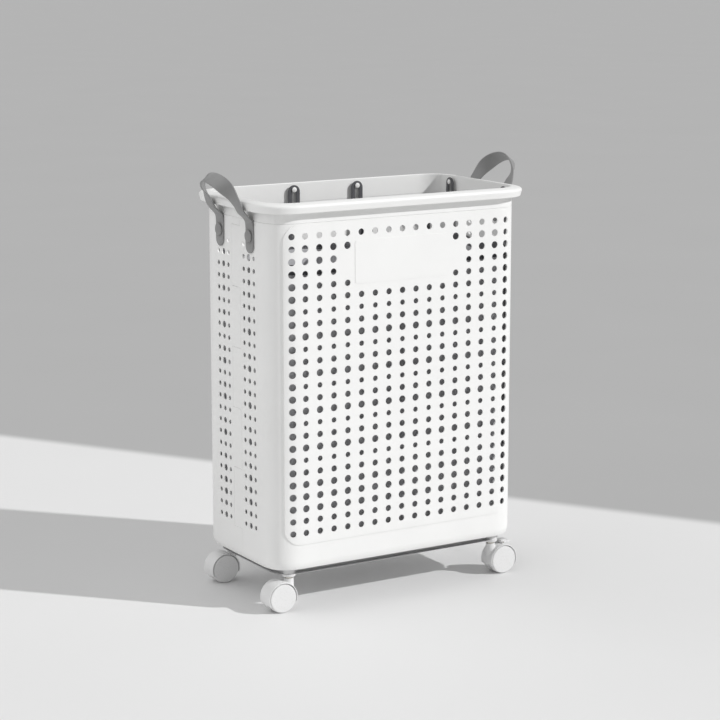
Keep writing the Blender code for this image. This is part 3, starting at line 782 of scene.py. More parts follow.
def end_sites(side_y):
    """Three columns on each end wall. The strap ends cover the top of the outer two."""
    sites = []
    for side_x in (-1, 1):
        for k, y in enumerate(END_COLUMNS):
            for row in range(2 if k else 1, ROW_COUNT):
                radius = hole_radius(row) - 0.3 * MM if k == 1 else END_SMALL
                z = TOP_ROW_Z - row * ROW_PITCH
                spot = Vector((side_x * HALF_LENGTH, side_y * y, z))
                sites.append((spot, Vector((side_x, 0, 0)), radius))
    return sites


def hole_cutter():
    """Unit-radius cutter: it breaks the outer edge, then widens inwards as the mould's draft
    does. Its height is in metres, so that only its radius follows the hole."""
    depth = WALL + PANEL_RISE
    clear = 3 * MM
    profile = [
        (0, clear),
        (1.06, clear),
        (1.06, 0.05 * MM),
        (1.0, -0.25 * MM),
        (1.0, -1.3 * MM),
        (1.28, -depth),
        (1.28, -depth - clear),
        (0, -depth - clear),
    ]
    return raw_object("cutter", turned(profile, 20))


def raised_patch(outset, low, high, radius, side_y):
    """A slice of the wall that stands proud inside a rounded rectangle."""
    rings = [body_ring(n, z, WALL_BOW * bow) for n, z, bow in shell_profile(outset, WALL + outset)]
    patch = raw_object("patch", loft(rings, wrap=True))
    near, far = sorted((0.2 * side_y * HALF_DEPTH, 2 * side_y * HALF_DEPTH))
    edge = rounded_rectangle(low, high, radius)
    mask = raw_object("mask", prism(edge, near, far, lambda x, z, y: (x, y, z)))
    boolean(patch, mask, "INTERSECT")
    return patch


def make_shell(node, side_y, plastic, perforate, cutter):
    """One half shell: plain wall, raised panel, label plate, seam and holes."""
    rings = [body_ring(n, z, WALL_BOW * bow) for n, z, bow in shell_profile()]
    shell = raw_object(f"perforated_{node}", loft(rings, wrap=True))
    for step, share in ((0.0, 0.45), (0.5 * MM, 1.0)):
        low = (-PANEL_HALF + step, PANEL_BOTTOM + step)
        high = (PANEL_HALF - step, PANEL_TOP - step)
        patch = raised_patch(share * PANEL_RISE, low, high, PANEL_CORNER - step, side_y)
        boolean(shell, patch, "UNION")
    if side_y < 0:  # the label plate is on the front only
        for step, share in ((0.0, 0.45), (0.4 * MM, 1.0)):
            low = (-LABEL_HALF + step, LABEL_BOTTOM + step)
            high = (LABEL_HALF - step, LABEL_TOP - step)
            rise = PANEL_RISE + share * LABEL_RISE
            boolean(shell, raised_patch(rise, low, high, LABEL_CORNER - step, side_y), "UNION")
    boolean(shell, seam_prism(side_y < 0), "DIFFERENCE")
    for side_x in (-1, 1):
        hub = Vector(joints[f"swivel_{'front' if side_y < 0 else 'rear'}_right"]["pos_m"])
        foot = (side_x * hub.x, hub.y, TRAY_LOW.z)
        bored(shell, rod(TRAY_BOSS + GAP, 0, 20 * MM), 32, Matrix.Translation(foot))
    sites = long_side_sites(side_y) + end_sites(side_y)
    for spot, direction, _ in button_sites():
        if spot.y * side_y > 0:
            sites.append((spot, direction, BUTTON_HOLE))
    sites = site_object("sites", sites)
    grow(shell, perforate, {"Sites": sites, "Unit": cutter, "Finish": plastic})
    drop(sites)
    finished(shell, plastic, "frame", [node])


# ---------------------------------------------------------------- rim, pegs and tray


def make_rim(plastic):
    """Wall band, flange and rolled skirt of the rim, with the wall's own corners."""
    skirt_in = OVERHANG - RIM_THICK
    under = RIM_HIGH.z - RIM_THICK - 1.0 * MM
    top = RIM_HIGH.z
    foot_middle = OVERHANG - RIM_THICK / 2 - 2.4 * MM
    profile = [(0, RIM_LOW.z)]
    profile += arc(3 * MM, 180, 90, 5, (3 * MM, under - 3 * MM))
    profile += arc(2 * MM, 90, 0, 4, (skirt_in - 2 * MM, under - 2 * MM))
    profile += arc(RIM_THICK / 2, 180, 360, 8, (foot_middle, top - 14 * MM))
    profile += [(OVERHANG - 1.1 * MM, top - 9 * MM)]
    profile += arc(4.6 * MM, -10, 62, 8, (OVERHANG - 5.0 * MM, top - 6.2 * MM))
    profile += [(0.5 * OVERHANG, top - 1.35 * MM), (0.25 * OVERHANG, top - 0.5 * MM), (0, top)]
    profile += arc(1.3 * MM, 90, 180, 5, (-WALL + 1.3 * MM, top - 1.3 * MM))
    profile += [(-WALL, RIM_LOW.z)]
    rings = [body_ring(n, z) for n, z in profile]
    rim = raw_object("rim", loft(rings, wrap=True))
    return finished(rim, plastic, "frame", ["rim_frame"], smooth=40)


def peg_sites():
    """Place on the inner wall and inward direction of the eight pegs."""
    end_x, side_y = HALF_LENGTH - WALL, HALF_DEPTH - WALL
    sites = []
    for sx in (-1, 1):
        for sy in (-1, 1):
            sites.append((Vector((sx * end_x, sy * PEG_END_Y, PEG_Z)), Vector((-sx, 0, 0)), 1.0))
            sites.append((Vector((sx * PEG_SIDE_X, sy * side_y, PEG_Z)), Vector((0, -sy, 0)), 1.0))
    return sites


def make_pegs(plastic, repeats):
    """Mushroom pegs with a small collar at the root."""
    shank = PEG_REACH - 1.8 * MM
    head = 4.2 * MM
    profile = [(0, -0.5 * MM), (4.2 * MM, -0.5 * MM), (4.2 * MM, 0.8 * MM), (PEG_SHANK, 1.6 * MM)]
    profile += [(PEG_SHANK, shank - 0.3 * MM), (head - 0.4 * MM, shank), (head, shank + 0.4 * MM)]
    profile += [(head, shank + 1.0 * MM), (0.72 * head, PEG_REACH - 0.15 * MM), (0, PEG_REACH)]
    unit = raw_object("unit", turned(profile, 28))
    pegs = site_object("bag_pegs", peg_sites())
    grow(pegs, repeats, {"Unit": unit, "Finish": plastic})
    drop(unit)
    finished(pegs, plastic, "frame", ["rim_frame"])


def make_tray(plastic):
    """Floor plate with a rolled edge, a locating lip, a shallow step underneath and a boss for
    each caster."""
    bottom = TRAY_LOW.z
    step = 1.0 * MM
    lip, thick = 7 * MM, 2.2 * MM
    edge = math.degrees(math.asin((BOTTOM_RADIUS - 3 * MM) / BOTTOM_RADIUS))
    rolled = arc(BOTTOM_RADIUS, -90, -edge, 6, (-BOTTOM_RADIUS, bottom + BOTTOM_RADIUS))
    profile = [(-44 * MM, bottom + step), (-42 * MM, bottom + step), (-41 * MM, bottom)]
    profile += [(n - 2 * GAP, z) for n, z in rolled]
    profile += [(-BOTTOM_RADIUS, TRAY_FLOOR), (-BOTTOM_RADIUS, TRAY_FLOOR + lip)]
    inside = -BOTTOM_RADIUS - thick
    profile += [(inside, TRAY_FLOOR + lip), (inside, TRAY_FLOOR)]
    tray = raw_object("base_floor", loft([body_ring(n, z) for n, z in profile]))
    foot, head = 56.4 * MM, 86 * MM
    ring, bore = TRAY_BOSS, 6.3 * MM
    fillet = 1.5 * MM
    boss = [(bore, foot + 0.6 * MM), (bore + 0.6 * MM, foot), (ring - 1.0 * MM, foot)]
    boss += [(ring, foot + 1.0 * MM), (ring, TRAY_FLOOR - 4.5 * MM)]
    boss += [(ring + fillet, TRAY_FLOOR - 2 * MM), (ring + fillet, TRAY_FLOOR)]
    boss += [(ring, TRAY_FLOOR), (ring, head), (bore, head)]
    for label in CASTERS:
        x, y, _ = joints[f"swivel_{label}"]["pos_m"]
        at = Matrix.Translation((x, y, 0))
        boolean(tray, raw_object("boss", turned(boss, 40, at)), "UNION")
        bored(tray, rod(bore, foot - MM, head - 1.5 * MM), 40, at)
    return finished(tray, plastic, "frame", ["base_tray"])


# ---------------------------------------------------------------- strap handles


def button_sites():
    """Place on the end wall and outward direction of the four buttons."""
    sites = []
    for side_x, end in ((-1, "left"), (1, "right")):
        for side in ("front", "rear"):
            low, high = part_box(f"button_{end}_{side}")
            middle = (low + high) / 2
            spot = Vector((side_x * HALF_LENGTH, middle.y, middle.z))
            sites.append((spot, Vector((side_x, 0, 0)), 1.0))
    return sites


def make_buttons(rubber, repeats):
    """Domed buttons with a rolled edge, on a shank that ends in a washer inside the wall."""
    seat = STRAP_THICK + 2 * GAP
    radius = BUTTON_RADIUS
    back = -WALL - GAP
    profile = [(0, seat + 3.2 * MM), (0.3 * radius, seat + 3.15 * MM)]
    profile += [(0.6 * radius, seat + 2.95 * MM), (0.8 * radius, seat + 2.6 * MM)]
    profile += arc(1.3 * MM, 62, -90, 8, (radius - 1.3 * MM, seat + 1.3 * MM))
    profile += [(3.2 * MM, seat), (3.2 * MM, back), (7.0 * MM, back), (7.5 * MM, back - 0.5 * MM)]
    profile += [(7.5 * MM, back - 1.1 * MM), (7.0 * MM, back - 1.6 * MM), (0, back - 1.6 * MM)]
    unit = raw_object("unit", turned(profile, 48))
    buttons = site_object("handle_buttons", button_sites())
    grow(buttons, repeats, {"Unit": unit, "Finish": rubber})
    drop(unit)
    nodes = [f"button_{end}_{side}" for end in ("left", "right") for side in ("front", "rear")]
    finished(buttons, rubber, "frame", nodes)


def smooth_path(points, steps):
    """(point, tangent, share of the length), evenly stepped along a curve through the points."""
    padded = [2 * points[0] - points[1], *points, 2 * points[-1] - points[-2]]
    fine = []
    for a, b, c, d in zip(padded, padded[1:], padded[2:], padded[3:]):
        for k in range(30):
            t = k / 30
            bend = (2 * a - 5 * b + 4 * c - d) * t * t + (3 * b - a - 3 * c + d) * t**3
            fine.append(0.5 * (2 * b + (c - a) * t + bend))
    fine.append(points[-1])
    lengths = [0.0]
    for a, b in zip(fine, fine[1:]):
        lengths.append(lengths[-1] + (b - a).length)
    path = []
    for goal, share in ((lengths[-1] * share, share) for share in steps):
        index = max(k for k in range(len(fine) - 1) if lengths[k] <= goal)
        part = (goal - lengths[index]) / (lengths[index + 1] - lengths[index])
        point = fine[index].lerp(fine[index + 1], min(part, 1.0))
        path.append((point, (fine[index + 1] - fine[index]).normalized(), share))
    return path, lengths[-1]


def strap_section(half_width):
    """Rounded flat section as (across, through) points."""
    half = STRAP_THICK / 2
    r = min(0.9 * MM, half_width - 0.05 * MM)
    return rounded_rectangle((-half_width, -half), (half_width, half), r, steps=3)


def make_strap(end, rubber):
    """One strap from tip to tip: flat on the wall at both buttons, arched and twisted between."""
    side_x = -1 if end == "left" else 1
    tab_low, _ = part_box(f"strap_tab_{end}_front")
    hinge_z = joints[f"handle_{end}_swing"]["pos_m"][2]
    button_y = abs(button_sites()[0][0].y)
    on_wall = GAP + STRAP_THICK / 2
    past_rim = OVERHANG + 0.9 * MM + STRAP_THICK / 2
    skirt_foot = RIM_HIGH.z - 15.5 * MM
    reach, rise = ARCH_REACH[end], ARCH_RISE[end]
    leg = [
        (on_wall, 1.0, tab_low.z),
        (on_wall, 1.0, tab_low.z + 18 * MM),
        (on_wall, 1.0, hinge_z),
        (on_wall + 2.8 * MM, 1.0, hinge_z + 10 * MM),
        (past_rim - 2.0 * MM, 1.0, skirt_foot - 3.5 * MM),
        (past_rim + 5.5 * MM, 0.97, RIM_HIGH.z - 4 * MM),
        (OVERHANG + 0.60 * reach, 0.80, RIM_HIGH.z + 0.46 * rise),
        (OVERHANG + 0.90 * reach, 0.42, RIM_HIGH.z + 0.87 * rise),
    ]
    top = Vector((side_x * (HALF_LENGTH + OVERHANG + reach), 0, RIM_HIGH.z + rise))

    def leg_points(side_y):
        return [Vector((side_x * (HALF_LENGTH + n), side_y * y * button_y, z)) for n, y, z in leg]

    half = STRAP_WIDTH / 2
    route = leg_points(-1) + [top] + leg_points(1)[::-1]
    _, length = smooth_path(route, (0.0, 1.0))
    tip = [half * (1 - math.cos(math.radians(90 * k / 8))) / length for k in range(9)]
    tip[0] = 0.02 * half / length
    body = [tip[-1] + (1 - 2 * tip[-1]) * k / 120 for k in range(1, 120)]
    steps = tip + body + [1 - share for share in reversed(tip)]
    path, _ = smooth_path(route, steps)
    outward = Vector((side_x, 0, 0))
    core = Vector((side_x * (HALF_LENGTH + OVERHANG), 0, skirt_foot))
    foot = 44 * MM / length
    rings = []
    for point, tangent, share in path:
        near = min(share, 1 - share)
        lift = max(0.0, (2 * (near - foot) / (1 - 2 * foot) - 0.34) / 0.66)
        ease = lift * lift * (3 - 2 * lift)
        face = outward.lerp((point - core).normalized(), ease)
        face = (face - tangent * face.dot(tangent)).normalized()
        across = tangent.cross(face)
        from_tip = min(near * length, half)
        width = math.sqrt(max(half**2 - (half - from_tip) ** 2, (0.04 * half) ** 2))
        rings.append([point + across * a + face * b for a, b in strap_section(width)])
    strap = raw_object(f"strap_{end}", loft(rings))
    finished(strap, rubber, "frame", smooth=50)
    strap.parent = None  # it is left without a parent
    nodes = (f"strap_arch_{end}", f"strap_tab_{end}_front", f"strap_tab_{end}_rear")
    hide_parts(*nodes)
    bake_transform(strap)


# ---------------------------------------------------------------- liner bags


def bag_facts(end):
    """A bag's box, the heights of its hem and of its bottom bend, its outer face's outline
    (counter-clockwise points, outward directions and distances round) and its pegs."""
    low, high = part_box(f"liner_bag_{end}")
    middle, half = (low + high) / 2, (high - low) / 2
    big, small = CORNER - WALL - BAG_CLEARANCE, BAG_INNER_CORNER
    corners = (big, small, small, big) if end == "right" else (small, big, big, small)
    ring = rounded_outline(half.x, half.y, corners, steps=12, long=22, short=24)
    points = [Vector((middle.x + p.x, p.y)) for p in ring]
    outward, rounds = [], [0.0]
    for before, point, after in zip(points[-1:] + points[:-1], points, points[1:] + points[:1]):
        edge = after - before
        outward.append(Vector((edge.y, -edge.x)).normalized())
        rounds.append(rounds[-1] + (after - point).length)
    return SimpleNamespace(
        end=end,
        body=f"bag_{end}",
        low=low,
        high=high,
        top=high.z - LOOP_RISE,
        bend_top=low.z + BAG_BOTTOM_CHAMFER,
        points=points,
        outward=outward,
        rounds=rounds,
        pegs=bag_pegs(end),
    )


def bag_pegs(end):
    """(place on the bag's outer face, inward direction) for the four pegs of one bag."""
    side_x = 1 if end == "right" else -1
    pegs = [(spot, inward) for spot, inward, _ in peg_sites() if spot.x * side_x > 0]
    return [(spot + inward * BAG_CLEARANCE, inward) for spot, inward in pegs]


def peg_pull(point, bag):
    """1 at a peg, fading to 0 away from it."""
    near = min((point - spot.to_2d()).length for spot, _ in bag.pegs)
    return math.exp(-((near / PEG_PULL_REACH) ** 2))


def hem_z(point, bag):
    """Height of the bag's edge, which sags between its loops."""
    return bag.top - HEM_SAG * (1 - peg_pull(point, bag))


def fold_depth(point, z, bag):
    """How far the cloth stands in from the bag's outer face: upright folds that die out at the
    pegs and the floor."""
    rise = (z - bag.bend_top) / (bag.top - bag.bend_top)
    where = Vector((point.x / FOLD_WIDTH, point.y / FOLD_WIDTH, z / FOLD_LENGTH))
    broad = noise.noise(where)
    fine = noise.noise(where * 2.3 + Vector((7.0, 3.0, 1.0)))
    depth = FOLD_DEPTH * (0.45 + 0.9 * broad + 0.25 * fine)
    held = peg_pull(point, bag) * max(0.0, rise) ** 3
    flat_at_floor = min(1.0, max(0.0, rise) / 0.12)
    return CLOTH_INSET + max(0.0, depth) * (1 - held) * flat_at_floor


def threaded_tube(name, rings, rounds, ups):
    """A closed tube through rings, with UVs in metres: round the bag, and up it by ups, which
    has a value for each ring and one for where the tube closes."""
    bm = loft(rings, wrap=True)
    threads = bm.loops.layers.uv.new("threads")
    bm.faces.index_update()
    for face in bm.faces:
        pair, k = divmod(face.index, len(rings[0]))
        here, after, low, high = rounds[k], rounds[k + 1], ups[pair], ups[pair + 1]
        corners = ((here, low), (after, low), (after, high), (here, high))
        for corner, uv in zip(face.loops, corners):
            corner[threads].uv = uv
    return raw_object(name, bm)


def ring_at(bag, row):
    """The bag's outline points moved in by each inset, at each height of a row of both."""
    spots = ((p - out * inset, z) for p, out, (z, inset) in zip(bag.points, bag.outward, row))
    return [Vector((spot.x, spot.y, z)) for spot, z in spots]


def flat_threads(obj, across, up):
    """UVs in metres along two directions, for pieces cut from flat cloth or tape."""
    layer = obj.data.uv_layers.new(name="threads")
    for corner in obj.data.loops:
        spot = obj.data.vertices[corner.vertex_index].co
        layer.data[corner.index].uv = (spot.dot(across), spot.dot(up))


def make_bag_wall(bag, cloth):
    """The cloth from its turned-in foot, round the bottom bend and up to the hem."""
    low, points = bag.low, bag.points
    bend = BAG_BOTTOM_CHAMFER
    # Each row has (height, inset, tilt) per point; tilt turns the thickness from inwards to up.
    rows = [[(low.z, CLOTH_INSET + bend + FLOOR_TURN_IN, 1.0) for _ in points]]
    for turn in (0, 22, 45, 68):
        lift = bend * (1 - math.cos(math.radians(turn)))
        reach = CLOTH_INSET + bend * (1 - math.sin(math.radians(turn)))
        rows.append([(low.z + lift, reach, 1 - turn / 90) for _ in points])
    shares = [0.0, 0.02, 0.05, 0.09] + [0.09 + 0.86 * k / 36 for k in range(1, 36)] + [0.96, 0.985]
    for share in shares:
        row = []
        for point in points:
            z = low.z + bend + share * (hem_z(point, bag) - 1.0 * MM - low.z - bend)
            row.append((z, fold_depth(point, z, bag), 0.0))
        rows.append(row)
    under_tape = 0.6 * MM
    rows.append([(hem_z(p, bag) - under_tape, fold_depth(p, bag.top, bag), 0.0) for p in points])
    rings, ups = [], []
    for thick, side in ((0.0, rows), (CLOTH, rows[::-1])):
        for row in side:
            shifted = [(z + thick * tilt, inset + thick * (1 - tilt)) for z, inset, tilt in row]
            rings.append(ring_at(bag, shifted))
            ups.append(row[0][0] - row[0][1])
    wall = threaded_tube(f"liner_wall_{bag.end}", rings, bag.rounds, ups + ups[:1])
    return finished(wall, cloth, bag.body, [f"liner_bag_{bag.end}"], smooth=60)


def make_bag_hem(bag, tape):
    """Binding tape folded over the bag's edge."""
    # (height from the edge, distance in from the cloth's outer face)
    section = [(-HEM_HEIGHT, 0.0), (-HEM_HEIGHT + 0.5 * MM, -0.3 * MM)]
    section += [(-0.5 * HEM_HEIGHT, -0.35 * MM), (-0.9 * MM, -0.35 * MM), (-0.2 * MM, 0.0)]
    section += [(z, CLOTH - inset) for z, inset in reversed(section)]
    rings = []
    for drop_z, step_in in section:
        folds = ((p, fold_depth(p, bag.top, bag) + step_in) for p in bag.points)
        rings.append(ring_at(bag, [(hem_z(p, bag) + drop_z, inset) for p, inset in folds]))
    ups = [3 * MM * k for k in range(len(rings) + 1)]
    hem = threaded_tube(f"liner_hem_{bag.end}", rings, bag.rounds, ups)
    return finished(hem, tape, bag.body, smooth=50)


def make_bag_floor(bag, cloth):
    """Floor panel sewn in over the walls' turned-in edge, with a slight sag."""
    middle = sum(bag.points, Vector((0, 0))) / len(bag.points)
    edge = [p - out * (CLOTH_INSET + FLOOR_INSET) for p, out in zip(bag.points, bag.outward)]
    lift = bag.low.z + CLOTH + 0.15 * MM
    rings = []
    inside_out = (0.04, 0.3, 0.55, 0.75, 0.9, 1.0)
    for side, shares in ((0.0, inside_out), (CLOTH, inside_out[::-1])):
        for share in shares:
            ring = []
            for point in edge:
                spot = middle + (point - middle) * share
                where = Vector((spot.x / (40 * MM), spot.y / (40 * MM), 3.0))
                ripple = 0.5 * MM * noise.noise(where)
                sag = -FLOOR_SAG * (1 - share**4) + ripple * (1 - share**6)
                ring.append(Vector((spot.x, spot.y, lift + side + sag)))
            rings.append(ring)
    floor = raw_object(f"liner_floor_{bag.end}", loft(rings))
    flat_threads(floor, Vector((1, 0, 0)), Vector((0, 1, 0)))
    return finished(floor, cloth, bag.body, smooth=60)


def make_bag_loops(bag, tape):
    """Flat webbing loops: both legs rise out of the hem and the band lies over the peg."""
    top, high = bag.top, bag.high
    crossbar = high.z - LOOP_BAND
    half, gap = LOOP_WIDTH / 2, LOOP_GAP / 2
    bm = bmesh.new()
    for spot, inward in bag.pegs:
        sideways = Vector((inward.y, inward.x, 0))

        def where(across, z, through):
            place = spot + sideways * across + inward * through
            return (place.x, place.y, z)

        shape = [(-half, top - HEM_HEIGHT + 2 * MM), (half, top - HEM_HEIGHT + 2 * MM)]
        shape += arc(half, 0, 180, 16, (0, high.z - half))
        band = raw_object("band", prism(shape, 0.15 * MM, 1.45 * MM, where))
        slit = arc(gap, 180, 360, 8, (0, top + 2 * MM + gap))
        slit += arc(gap, 0, 180, 8, (0, crossbar - gap))
        boolean(band, raw_object("slit", prism(slit, -2 * MM, 4 * MM, where)), "DIFFERENCE")
        flat_threads(band, sideways, Vector((0, 0, 1)))
        bm.from_mesh(band.data)
        drop(band)
    mesh = bpy.data.meshes.new("loops")
    bm.to_mesh(mesh)
    bm.free()
    loops = linked(f"liner_loops_{bag.end}", mesh)
    soften(loops, "worn_edges", 0.35 * MM)
    return finished(loops, tape, bag.body, smooth=45)


def make_bag_stitches(bag, stitches, thread):
    """Lockstitch rows: two round the inside of the hem, one round the floor, and two across the
    foot of each loop."""
    rows = []
    proud = CLOTH + 0.38 * MM
    for below in (3.0 * MM, HEM_HEIGHT - 2.2 * MM):
        row = [(hem_z(p, bag) - below, fold_depth(p, bag.top, bag) + proud) for p in bag.points]
        rows.append((ring_at(bag, row), True))
    inset = CLOTH_INSET + FLOOR_INSET + 2.5 * MM
    row = [(bag.low.z + 2 * CLOTH + 0.25 * MM, inset)] * len(bag.points)
    rows.append((ring_at(bag, row), True))
    for spot, inward in bag.pegs:
        sideways = Vector((inward.y, inward.x, 0))
        face = spot + inward * (CLOTH_INSET + proud)
        for below in (6.0 * MM, 10.5 * MM):
            row = []
            for share in (-0.45, -0.15, 0.15, 0.45):
                place = face + sideways * (share * LOOP_WIDTH)
                row.append((place.x, place.y, bag.top - below))
            rows.append((row, False))
    vertices, edges = [], []
    for row, closed in rows:
        first = len(vertices)
        vertices += row
        edges += [(first + k, first + k + 1) for k in range(len(row) - 1)]
        if closed:
            edges.append((first + len(row) - 1, first))
    mesh = bpy.data.meshes.new("stitch_path")
    mesh.from_pydata(vertices, edges, [])
    seams = linked(f"liner_stitches_{bag.end}", mesh)
    sizes = {"Pitch": 3.4 * MM, "Stitch Length": 2.6 * MM, "Thread Radius": 0.32 * MM}
    grow(seams, stitches, {**sizes, "Finish": thread})
    return finished(seams, thread, bag.body, smooth=60)


def make_bag(end, stitches):
    """One liner bag: its wall, hem, loops, stitches and floor."""
    bag = bag_facts(end)
    wall = make_bag_wall(bag, MATERIALS["cloth"])
    hem = make_bag_hem(bag, MATERIALS["tape"])
    loops = make_bag_loops(bag, MATERIALS["tape"])
    seams = make_bag_stitches(bag, stitches, MATERIALS["thread"])
    floor = make_bag_floor(bag, MATERIALS["cloth"])


# ---------------------------------------------------------------- casters


def caster_plane(label):
    """(hub, stem, function) where the function turns (a, b, across) about the hub to a place;
    a runs from the stem's side to the trailing side and b runs up."""
    hub = Vector(joints[f"wheel_spin_{label}_a"]["pos_m"])
    stem = Vector(joints[f"swivel_{label}"]["pos_m"])
    trail = 1 if hub.x > stem.x else -1

    def where(a, b, across):
        return (hub.x + trail * a, hub.y + across, hub.z + b)

    return hub, stem, where


def pin_matrix(where):
    """Places a brake pin's bore, made along Z, across its hood."""
    return along((0, 1, 0), where(*BRAKE_PIN_AT, -9 * MM))


def make_hood(label, braked, nylon):
    """Barrel-shaped hood with rolled edges, a neck that flares into it, and the web between the
    wheels."""
    hub, stem, where = caster_plane(label)
    outer, inner = HOOD_RADIUS, HOOD_RADIUS - HOOD_THICK
    half = CASTER_WIDTH / 2
    section = rounded_rectangle((inner, -half), (outer, half), 0.55 * MM, steps=4)
    rings = []
    for k in range(57):
        turn = math.radians(HOOD_START + (HOOD_END - HOOD_START) * k / 56)
        rings.append([where(r * math.cos(turn), r * math.sin(turn), n) for r, n in section])
    hood = raw_object(f"caster_hood_{label}", loft(rings))
    # (height over the hub, reach behind the stem's side, reach ahead, half width)
    flare = [
        (0.0, 24.9, -3.0, 11.0),
        (7.0, 25.0, -3.0, 11.2),
        (12.0, 25.2, -3.5, 10.6),
        (16.0, 25.3, -5.0, 9.6),
        (19.5, 25.3, -7.4, 8.6),
        (23.0, 25.25, -9.4, 7.8),
        (25.5, 25.25, -10.2, 7.5),
        (27.3, 25.25, -10.25, 7.5),
        (27.85, 25.05, -10.45, 7.3),
        (28.0, 24.6, -10.9, 6.85),
    ]
    neck_rings = []
    for b, back, ahead, wide in flare:
        middle, reach = (ahead * MM - back * MM) / 2, (ahead * MM + back * MM) / 2
        ring = []
        for k in range(48):
            turn = 2 * math.pi * k / 48
            ring.append(where(middle + reach * math.cos(turn), b * MM, wide * MM * math.sin(turn)))
        neck_rings.append(ring)
    neck = raw_object("neck", loft(neck_rings))
    room = raw_object("room", prism(arc(inner, 0, 354, 59), -half, half, where))
    boolean(neck, room, "DIFFERENCE")
    boolean(hood, neck, "UNION")
    web = arc(inner + HOOD_THICK / 2, HOOD_START + 3, HOOD_END - 3, 40)
    web += arc(WHEEL_RADIUS - 5.5 * MM, HOOD_END - 3, HOOD_START + 363, 16)
    boolean(hood, raw_object("web", prism(web, -CORE_THICK / 2, CORE_THICK / 2, where)), "UNION")
    if braked:
        for side in (-1, 1):
            near, far = sorted((side * 6.3 * MM, side * 8.1 * MM))
            lug = [(1 * MM, inner + 0.4 * MM), (5 * MM, inner + 0.4 * MM)]
            lug += arc(2 * MM, 0, 180, 10, BRAKE_PIN_AT)
            boolean(hood, raw_object("lug", prism(lug, near, far, where)), "UNION")
        bored(hood, rod(BRAKE_PIN_BORE, 0, 18 * MM), 20, pin_matrix(where))
    seat = Matrix.Translation((stem.x, stem.y, stem.z - 6.7 * MM))
    bored(hood, rod(STEM_BORE, 0, 10 * MM), 32, seat)
    start = (hub.x, hub.y - 6 * MM, hub.z)
    bored(hood, rod(AXLE_BORE, 0, 12 * MM), 24, along((0, 1, 0), start))
    return finished(hood, nylon, f"caster_{label}", [f"housing_{label}"], smooth=38)


def make_wheels(label, nylon):
    """Two plain discs with a softly rounded edge and a blind bore for the axle."""
    hub, _, _ = caster_plane(label)
    outer, inner = CASTER_WIDTH / 2 - 0.1 * MM, CORE_THICK / 2 + GAP
    bore, bore_end = AXLE_BORE, CASTER_WIDTH / 2 - 2 * MM
    edge = 1.0 * MM
    face = WHEEL_RADIUS - 0.9 * MM
    for which, side in (("a", -1), ("b", 1)):
        profile = [(0, outer), (0.4 * WHEEL_RADIUS, outer), (0.82 * WHEEL_RADIUS, outer - 0.03 * MM)]
        profile += arc(edge, 80, 0, 6, (face - edge, outer - edge - 0.06 * MM))
        profile += [(face, outer - 2.6 * MM), (WHEEL_RADIUS - 0.2 * MM, outer - 2.9 * MM)]
        profile += [(WHEEL_RADIUS, outer - 3.3 * MM)]
        profile += [(WHEEL_RADIUS, inner + 1.4 * MM), (WHEEL_RADIUS - 0.4 * MM, inner + 0.4 * MM)]
        profile += [(WHEEL_RADIUS - 1.4 * MM, inner), (0.3 * WHEEL_RADIUS, inner), (bore, inner)]
        profile += [(bore, bore_end), (0, bore_end)]
        name = f"wheel_{label}_{which}"
        wheel = raw_object(f"caster_{name}", turned(profile, 72, along((0, side, 0), hub)))
        finished(wheel, nylon, name, [name], smooth=35)


def make_brake(label, nylon, rubber):
    """Foot lever: a flat white tab with a rounded tip, and a ribbed block on its heel whose grey is
    painted shade.
    """
    hub, _, where = caster_plane(label)
    low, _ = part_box(f"brake_lever_{label}")
    foot = low.z - hub.z
    half = 6 * MM
    heel, block_end, tip = -0.5 * MM, 10 * MM, 19.5 * MM
    sole = rounded_rectangle((heel, -half), (block_end, half), 1.0 * MM, steps=3)
    tab = rounded_rectangle((block_end - 4 * MM, -half), (tip, half), 3.2 * MM, steps=6)

    def upright(a, across, b):
        return where(a, b, across)

    top = foot + 2.6 * MM
    lever = raw_object(f"brake_tab_{label}", prism(tab, foot, top, upright))
    boolean(lever, raw_object("sole", prism(sole, foot, top, upright)), "UNION")
    heel_block_outline = rounded_rectangle((heel, -half), (block_end, half), 1.6 * MM, steps=5)
    block = prism(heel_block_outline, foot + 2.3 * MM, foot + 5.8 * MM, upright)
    # the heel block's grey is painted shade on the lever's heel
    heel_shade = raw_object(f"brake_pad_{label}", block)
    floor, clear = foot + 5.3 * MM, foot + 7 * MM
    for k in range(4):
        near = 1.3 * MM + k * 2.3 * MM
        far = near + 0.9 * MM
        cut = [(near, floor), (far, floor), (far, clear), (near, clear)]
        boolean(heel_shade, raw_object("groove", prism(cut, -2 * half, 2 * half, where)), "DIFFERENCE")
    bored(lever, rod(BRAKE_PIN_BORE, 0, 18 * MM), 20, pin_matrix(where))
    for piece in (lever, heel_shade):
        soften(piece, "soft_edges", 0.3 * MM)
    body = f"brake_lever_{label}"
    finished(lever, nylon, body, [body], smooth=40)
    finished(heel_shade, rubber, body, [body], smooth=40)


def refinish(node, material):
    """Gives a CAD node that stays its real material."""
    obj = frame["nodes"][node]
    if not obj.material_slots:
        obj.data.materials.append(material)
    for holder in obj.material_slots:
        holder.material = material


def make_caster(label):
    """One caster round its CAD stem, axle and sleeve, which stay and get their materials."""
    braked = f"brake_{label}" in joints
    make_hood(label, braked, MATERIALS["nylon"])
    make_wheels(label, MATERIALS["nylon"])
    refinish(f"stem_{label}", MATERIALS["nickel"])
    refinish(f"axle_{label}", MATERIALS["nickel"])
    refinish(f"sleeve_{label}", MATERIALS["nylon"])
    if braked:
        make_brake(label, MATERIALS["nylon"], MATERIALS["heel_shade"])
        refinish(f"brake_pin_{label}", MATERIALS["nickel"])


# ---------------------------------------------------------------- the sorter

